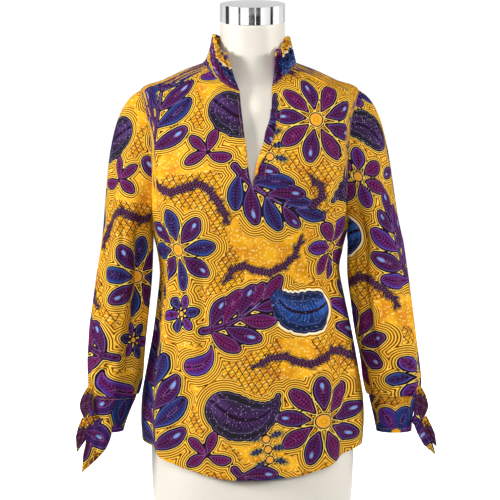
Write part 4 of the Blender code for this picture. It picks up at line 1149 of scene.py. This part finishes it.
for side, sign in SIDES.items():
    flat = unrolled(sleeve_grid(side, creased=False), CAP_ROWS + 4)
    flat[..., 1] *= -1.0
    points = sleeve_grid(side, creased=True) * (sign, 1, 1)
    sleeve = sew_cloth(f"{side}_sleeve", [(points, sign > 0)], [flat], SLEEVE_CUT_AT[side], printed_cotton)
    stands_for(sleeve, f"sleeve_{side}")


# Cuffs: a band of the darker part of the print, sewn to the gathered sleeve and turned in at
# its lower edge. It tapers towards the hand.

CUFF_STATIONS = {
    "left": named_rows(
        Station,
        (0.3922, 0.2459, -0.028, 0.0435, 0.0360), (0.3600, 0.2455, -0.031, 0.0354, 0.0315),
        (0.3300, 0.2470, -0.033, 0.0304, 0.0290),
    ),
    "right": named_rows(
        Station,
        (0.3922, 0.2420, -0.028, 0.0406, 0.0350), (0.3600, 0.2495, -0.031, 0.0342, 0.0310),
        (0.3300, 0.2560, -0.033, 0.0302, 0.0290),
    ),
}
CUFF_CREASES = {
    "left": named_rows(
        Fold,
        (60, 84, 0.33, 0.39, 7.0, -0.0019), (110, 128, 0.335, 0.39, 7.0, 0.0015),
        (150, 170, 0.33, 0.385, 6.0, -0.0024), (205, 190, 0.33, 0.39, 7.0, -0.0018),
        (250, 268, 0.34, 0.39, 8.0, 0.0015), (318, 300, 0.33, 0.385, 8.0, -0.0018),
    ),
    "right": named_rows(
        Fold,
        (50, 72, 0.335, 0.39, 7.0, -0.0021), (96, 88, 0.33, 0.385, 6.0, 0.0016),
        (140, 158, 0.33, 0.39, 7.0, -0.0024), (196, 184, 0.335, 0.39, 7.0, -0.0016),
        (240, 256, 0.33, 0.385, 8.0, 0.0015), (308, 296, 0.33, 0.39, 8.0, -0.0019),
    ),
}
# How far the hem's fold and its stitching stand from the cuff's lower edge, and how proud it is.
CUFF_HEM_TOP, CUFF_STITCH, CUFF_HEM_RELIEF = 0.007, 0.0065, 0.0005
CUFF_TOP_GAP, CUFF_TOP_DIP, CUFF_CREASE_FADE = 0.0012, 0.0008, 0.02
CUFF_CUT_AT = {"left": (0.405, 0.080), "right": (0.070, 0.345)}
DARK_FATTEN = 7.0

# The dark part of the print: motifs grown until they nearly meet, on a brown and amber ground.
dark_cotton = make_print("dark wax-printed cotton", "#c98410", "#5a2c18", "#f0c040", ruling="#1f0f16",
                         echo_least=3.2, echo_most=7.0)
for side, sign in SIDES.items():
    stations = CUFF_STATIONS[side]
    turns = np.linspace(0, 360, 121)[None, :]
    heights = np.linspace(stations[0].height + CUFF_TOP_GAP, stations[-1].height, 33)[:, None]
    above = heights - stations[-1].height
    relief = fold_relief(CUFF_CREASES[side], turns, heights, CUFF_CREASE_FADE)
    relief = relief + CUFF_HEM_RELIEF * (1 - ease((above - CUFF_HEM_TOP) / 0.002))
    relief = relief - CUFF_HEM_RELIEF * np.exp(-(((above - CUFF_STITCH) / 0.0012) ** 2))
    seam = CUFF_TOP_DIP * np.exp(-(((heights - stations[0].height) / CUFF_SEAM_REACH) ** 2))
    relief = relief - seam
    points = ellipse_points(station_at(stations, heights), turns, relief)
    flat = unrolled(ellipse_points(station_at(stations, heights), turns), 2)
    flat[..., 1] *= -1.0
    cuff = sew_cloth(f"{side}_cuff", [(points * (sign, 1, 1), sign > 0)], [flat], CUFF_CUT_AT[side],
                     dark_cotton, thickness=0.0010, fatten=DARK_FATTEN)
    stands_for(cuff, f"cuff_{side}")


# Cuff ties: a doubled strap of the cuff's dark print at the outer side of each cuff, tied in one
# knot with a standing loop above it and two pointed ends below.

StrapPoint = namedtuple("StrapPoint", "x y z width facing_deg")
KNOT_CENTRES = {"left": (0.2865, -0.0458, 0.3500), "right": (0.2782, -0.0617, 0.3500)}
KNOT_SIZES = {"left": (0.0105, 0.0085, 0.0095), "right": (0.0125, 0.0090, 0.0105)}
STRAP_THICKNESS, STRAP_WAVE = 0.0024, 0.0011
KNOT_GROOVE, KNOT_WRINKLE = 0.10, 0.035
KNOT_CUT_AT = (0.110, 0.000)
STRAP_CUT_AT = {"bow": (0.410, 0.150), "front": (0.410, 0.060), "back": (0.410, 0.150)}
TIES = {
    "tie_bow_left": named_rows(
        StrapPoint,
        (0.2880, -0.0370, 0.4090, 0.010, 30), (0.2912, -0.0390, 0.3920, 0.024, 30),
        (0.2932, -0.0420, 0.3735, 0.029, 25), (0.2890, -0.0455, 0.3550, 0.020, 25),
    ),
    "tie_front_left": named_rows(
        StrapPoint,
        (0.2835, -0.0550, 0.3530, 0.0125, 12), (0.2930, -0.0575, 0.3330, 0.0165, 14),
        (0.3045, -0.0565, 0.3125, 0.0170, 16), (0.3180, -0.0530, 0.2910, 0.0015, 20),
    ),
    "tie_back_left": named_rows(
        StrapPoint,
        (0.2970, -0.0445, 0.3540, 0.015, 30), (0.3040, -0.0445, 0.3370, 0.018, 30),
        (0.3115, -0.0440, 0.3220, 0.016, 30), (0.3208, -0.0430, 0.3030, 0.0015, 30),
    ),
    "tie_bow_right": named_rows(
        StrapPoint,
        (0.2800, -0.0480, 0.4120, 0.008, 35), (0.2860, -0.0505, 0.3950, 0.018, 30),
        (0.2895, -0.0545, 0.3760, 0.024, 25), (0.2820, -0.0610, 0.3550, 0.020, 20),
    ),
    "tie_front_right": named_rows(
        StrapPoint,
        (0.2690, -0.0690, 0.3540, 0.030, 5), (0.2655, -0.0735, 0.3350, 0.046, 8),
        (0.2710, -0.0725, 0.3120, 0.039, 10), (0.2830, -0.0690, 0.2880, 0.024, 11),
        (0.2955, -0.0650, 0.2620, 0.0015, 12),
    ),
    "tie_back_right": named_rows(
        StrapPoint,
        (0.2895, -0.0600, 0.3540, 0.014, 25), (0.2940, -0.0590, 0.3360, 0.020, 25),
        (0.2990, -0.0570, 0.3180, 0.019, 25), (0.3050, -0.0550, 0.2960, 0.0015, 25),
    ),
}
STRAP_ROWS, STRAP_POINTS = 40, 25


def strap_grid(table):
    """The upper face of a strap, folded softly along its length, its flat layout and its area."""
    places = np.linspace(0, len(table) - 1, STRAP_ROWS)
    knots = range(len(table))
    x, y, z, facing_deg = (
        smooth_at(knots, column(table, name), places) for name in ("x", "y", "z", "facing_deg"))
    centre = np.stack((x, y, z), axis=1)
    width = np.interp(places, knots, column(table, "width"))[:, None]
    facing = np.radians(facing_deg)
    outward = np.stack((np.sin(facing), -np.cos(facing), 0 * facing), axis=1)
    line = np.gradient(centre, axis=0)
    across = np.cross(line, outward)
    across /= np.linalg.norm(across, axis=1, keepdims=True)
    outward = np.cross(across, line)
    outward /= np.linalg.norm(outward, axis=1, keepdims=True)
    share = np.linspace(-1, 1, STRAP_POINTS)[None, :]
    crown = STRAP_THICKNESS / 2 * (1 - np.abs(share) ** 3)
    waves = STRAP_WAVE * np.cos(share * 7.5 + 0.8 + 12 * width) * np.minimum(width / 0.02, 1.0)
    aside = share * width / 2
    points = centre[:, None] + across[:, None] * aside[..., None]
    points = points + outward[:, None] * (crown + waves)[..., None]
    length = path_length(centre)
    area = float((width[:-1, 0] * np.diff(length)).sum())
    return points, np.stack((aside, length[:, None] + 0 * share), axis=-1), area


for side, sign in SIDES.items():
    deselect_all()
    bpy.ops.mesh.primitive_uv_sphere_add(segments=48, ring_count=28, radius=1.0)
    knot = bpy.context.object
    knot.name = knot.data.name = f"{side}_tie_knot"
    for vert in knot.data.vertices:
        x, y, z = vert.co
        around = math.atan2(x, z)
        # Two turns of cloth wrap the knot, with a groove between them.
        groove = math.exp(-(((y * 1.5 + 0.35 * math.sin(around)) / 0.22) ** 2))
        wrap = 1.0 - KNOT_GROOVE * groove + KNOT_WRINKLE * math.sin(9 * around + 4 * y)
        vert.co = [c * wrap * size for c, size in zip(vert.co, KNOT_SIZES[side])]
        vert.co.x = sign * (vert.co.x + KNOT_CENTRES[side][0])
        vert.co.y += KNOT_CENTRES[side][1]
        vert.co.z += KNOT_CENTRES[side][2]
    if sign < 0:
        bpy.ops.object.mode_set(mode="EDIT")
        bpy.ops.mesh.select_all(action="SELECT")
        bpy.ops.mesh.normals_make_consistent(inside=False)
        bpy.ops.object.mode_set(mode="OBJECT")
    bpy.ops.object.shade_smooth_by_angle(angle=math.radians(80))
    knot.data.uv_layers.remove(knot.data.uv_layers[0])
    knot.data.materials.append(dark_cotton)
    flat = np.array([(vert.co.x, vert.co.z) for vert in knot.data.vertices]) + np.array(KNOT_CUT_AT)
    lay_print(knot.data, flat, [loop.vertex_index for loop in knot.data.loops], 1.0)
    stands_for(knot, f"tie_knot_{side}")
    for name, table in TIES.items():
        if not name.endswith(side):
            continue
        points, flat, area = strap_grid(table)
        part = name.split("_")[1]
        strap = sew_cloth(f"{side}_tie_{part}", [(points * (sign, 1, 1), sign < 0)], [flat],
                          STRAP_CUT_AT[part], dark_cotton, thickness=STRAP_THICKNESS * 0.8,
                          fatten=DARK_FATTEN)
        stands_for(strap, name)
        cut = (max(column(table, "width")) + 0.001, 0.001 + float(flat[-1, 0, 1]))


# Sewing: rows of lockstitch in a golden thread along the hem, the cuffs, the slit's edge and the
# foot of the collar. Each stitch is a short length of twisted polyester thread that sinks in.

# Drawn 0.5 mm thick and 3.2 mm apart where the real thread is about 0.3 and 2.5 mm, so it shows.
STITCH_PITCH, STITCH_LENGTH, THREAD_WIDTH, THREAD_LIFT = 0.0032, 0.0026, 0.0005, 0.0001

# Twisted polyester thread: a smooth fibre with a slight gloss, and a ply that winds round it, with painted
# shade in the grooves between its plies.
thread, tree, shader = new_material("golden polyester thread")
place = add_node(tree, "TexCoord").node.outputs["Object"]
ply_relief_and_shade = add_node(tree, "TexWave", {"Vector": place, "Scale": math.pi / (10 * 0.0006), "Distortion": 0.8},
               bands_direction="DIAGONAL")
# Painted shade and highlight: the thread is darker where the ply's wave is low, in the grooves, and
# lighter on its crests.
tone = layered(tree, linear("#b67a1c"), ((ply_relief_and_shade, linear("#e0aa45")),))
bump = add_node(tree, "Bump", {"Height": ply_relief_and_shade, "Strength": 0.3, "Distance": 0.0001})
set_inputs(shader, {"Base Color": tone, "Normal": bump, "Roughness": 0.5})

deselect_all()
bpy.ops.mesh.primitive_uv_sphere_add(segments=6, ring_count=4, radius=1.0)
single = bpy.context.object
stitch_points = np.array([vert.co[:] for vert in single.data.vertices])
stitch_faces = [list(face.vertices) for face in single.data.polygons]
bpy.data.objects.remove(single)


def sew_rows(name, rows):
    """One piece of stitches laid end to end along paths on the cloth. Each row is a path and,
    at each of its points, the way out of the cloth."""
    points, faces = [], []
    for path, away in rows:
        length = path_length(path)
        places = np.arange(STITCH_PITCH / 2, length[-1], STITCH_PITCH)
        ahead = np.gradient(path, axis=0)
        middle, ahead, out = (
            np.stack([np.interp(places, length, values[:, k]) for k in range(3)], axis=1)
            for values in (path, ahead, away))
        ahead /= np.linalg.norm(ahead, axis=1, keepdims=True)
        out = out - ahead * (out * ahead).sum(axis=1, keepdims=True)
        out /= np.linalg.norm(out, axis=1, keepdims=True)
        beside = np.cross(ahead, out)
        for a, b, c, d in zip(middle, out, beside, ahead):
            faces += [[i + len(points) * len(stitch_points) for i in face] for face in stitch_faces]
            size = stitch_points * (THREAD_WIDTH * 0.4, THREAD_WIDTH * 0.5, STITCH_LENGTH / 2)
            points.append(a + size @ np.array((b, c, d)))
    mesh = bpy.data.meshes.new(name)
    mesh.from_pydata(np.concatenate(points).tolist(), [], faces)
    mesh.polygons.foreach_set("use_smooth", [True] * len(faces))
    mesh.materials.append(thread)
    piece = new_object(name, mesh)
    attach(piece, "root")


turns = np.linspace(-180, 180, 721)
away = np.stack((np.sin(np.radians(turns)), -np.cos(np.radians(turns)), 0 * turns), axis=1)
level = np.full(turns.shape, STITCH_SHARE * hem_top)
path = blouse_points(turns, level, hem_lift(level) + THREAD_LIFT)
sew_rows("hem_stitches", [(path, away)])

SLIT_STITCH_LOW, SLIT_STITCH_HIGH = 0.775, 0.912
SLIT_STITCH_INSETS = {"right": -0.0042, "left": 0.0165}
heights = np.linspace(SLIT_STITCH_LOW, SLIT_STITCH_HIGH, 120)
fine = np.linspace(WAIST, NECK, 400)
level = np.interp(heights, ring_points(BLOUSE_RINGS, 0.0, fine)[:, 2], fine)
away = np.tile((0.0, -1.0, 0.0), (len(heights), 1))
rows = []
for edge, inset in SLIT_STITCH_INSETS.items():
    x = along(SLIT, "height", edge, heights) + inset
    rows.append((blouse_points(angle_of_x(x, level), level, THREAD_LIFT), away))
sew_rows("slit_stitches", rows)
sew_rows("collar_stitches", [(collar_seam + collar_away * THREAD_LIFT, collar_away)])

CUFF_TOP_STITCH = 0.0035
turns = np.linspace(0, 360, 361)
away = np.stack((-np.cos(np.radians(turns)), -np.sin(np.radians(turns)), 0 * turns), axis=1)
for side, sign in SIDES.items():
    stations, rows = CUFF_STATIONS[side], []
    for height in (stations[-1].height + CUFF_STITCH, stations[0].height - CUFF_TOP_STITCH):
        relief = fold_relief(CUFF_CREASES[side], turns, height, CUFF_CREASE_FADE) + THREAD_LIFT
        path = ellipse_points(station_at(stations, np.full(turns.shape, height)), turns, relief)
        rows.append((path * (sign, 1, 1), away * (sign, 1, 1)))
    sew_rows(f"{side}_cuff_stitches", rows)


# Studio: a plain white paper floor, a soft lamp on each side, a broad one in front and one behind,
# strips of card that the chrome mirrors, and the camera.

bpy.ops.mesh.primitive_plane_add(size=60.0, location=(0.0, 20.0, -0.0002))
floor = bpy.context.object
floor.name = "studio_floor"
paper, tree, shader = new_material("white studio paper")
set_inputs(shader, {"Base Color": linear("#f7f7f7"), "Roughness": 0.9,
                    "Emission Color": linear("#ffffff"), "Emission Strength": 0.98})
floor.data.materials.append(paper)
# The paper's own glow whitens the picture only. It throws no light back up on the cloth.
floor.visible_diffuse = False

# White where the camera sees it and in the chrome, and dim where it lights the cloth.
world = bpy.data.worlds.new("studio light")
bpy.context.scene.world = world
world.use_nodes = True
seen = add_node(world.node_tree, "LightPath")
level = add_node(world.node_tree, "MapRange", {0: seen, 3: 0.05, 4: 1.05})
mirrored = seen.node.outputs["Is Glossy Ray"]
level = add_node(world.node_tree, "Math", {0: mirrored, 1: 0.72, 2: level},
                 operation="MULTIPLY_ADD")
set_inputs(world.node_tree.nodes["Background"], {"Color": linear("#ffffff"), "Strength": level})
Lamp = namedtuple("Lamp", "name place size power")
LAMPS = named_rows(
    Lamp,
    ("key light", (-3.7, -1.7, 1.9), 1.0, 192.0),
    ("side light", (3.8, -1.05, 1.6), 0.8, 112.0),
    ("front light", (0.3, -4.2, 2.2), 2.0, 104.0),
    ("back light", (-0.8, 4.4, 2.4), 2.0, 90.0),
)
LAMPS_AIM = Vector((0.0, 0.0, 0.65))
for lamp in LAMPS:
    light = bpy.data.lights.new(lamp.name, "AREA")
    light.size = lamp.size
    light.energy = lamp.power
    holder = new_object(lamp.name, light)
    holder.location = lamp.place
    # The light behind the form only shows the back. It isn't mirrored in the chrome.
    holder.visible_glossy = lamp.name != "back light"
    holder.rotation_euler = (LAMPS_AIM - Vector(lamp.place)).to_track_quat("-Z", "Y").to_euler()

# Strips of dark and white card round the studio, seen only in the chrome, as its bands show.
Card = namedtuple("Card", "low_deg high_deg colour glow")
CARDS = named_rows(
    Card,
    (-110, -92, "#4a4846", 0.0), (-89, -53, "#ffffff", 1.0), (-51, -44, "#3a3634", 0.0),
    (-41, -16, "#ffffff", 1.0), (-14, 9, "#2a1d17", 0.0), (11, 29, "#0c0b0b", 0.0),
    (66, 77, "#0c0b0b", 0.0), (80, 106, "#ffffff", 1.0),
)
CARD_DISTANCE, CARD_MIDDLE, CARD_HEIGHT = 3.2, 1.2, 2.2
for number, strip in enumerate(CARDS):
    card, tree, shader = new_material(f"studio card {number}")
    set_inputs(shader, {"Base Color": linear(strip.colour), "Roughness": 0.9,
                        "Emission Color": linear(strip.colour), "Emission Strength": strip.glow})
    deselect_all()
    way = math.radians((strip.low_deg + strip.high_deg) / 2)
    width = 2 * CARD_DISTANCE * math.tan(math.radians(strip.high_deg - strip.low_deg) / 2)
    bpy.ops.mesh.primitive_plane_add(
        size=1.0, location=(CARD_DISTANCE * math.sin(way), -CARD_DISTANCE * math.cos(way), CARD_MIDDLE),
        rotation=(math.pi / 2, 0.0, way))
    flag = bpy.context.object
    flag.name = f"studio_card_{number}"
    flag.scale = (width, CARD_HEIGHT, 1.0)
    flag.data.materials.append(card)
    flag.visible_camera = flag.visible_diffuse = flag.visible_shadow = False

# The camera, about 4 m off and tilted 5 degrees down: its place and lens are fitted to the photo.
camera = new_object("camera", bpy.data.cameras.new("camera"))
camera.data.lens = 164.6
camera.data.sensor_width = 36.0
camera.location = (-0.0044, -3.9848, 0.9916)
camera.rotation_euler = (math.radians(85.0), 0.0, 0.0)
bpy.context.scene.camera = camera
bpy.context.scene.view_settings.view_transform = "Standard"
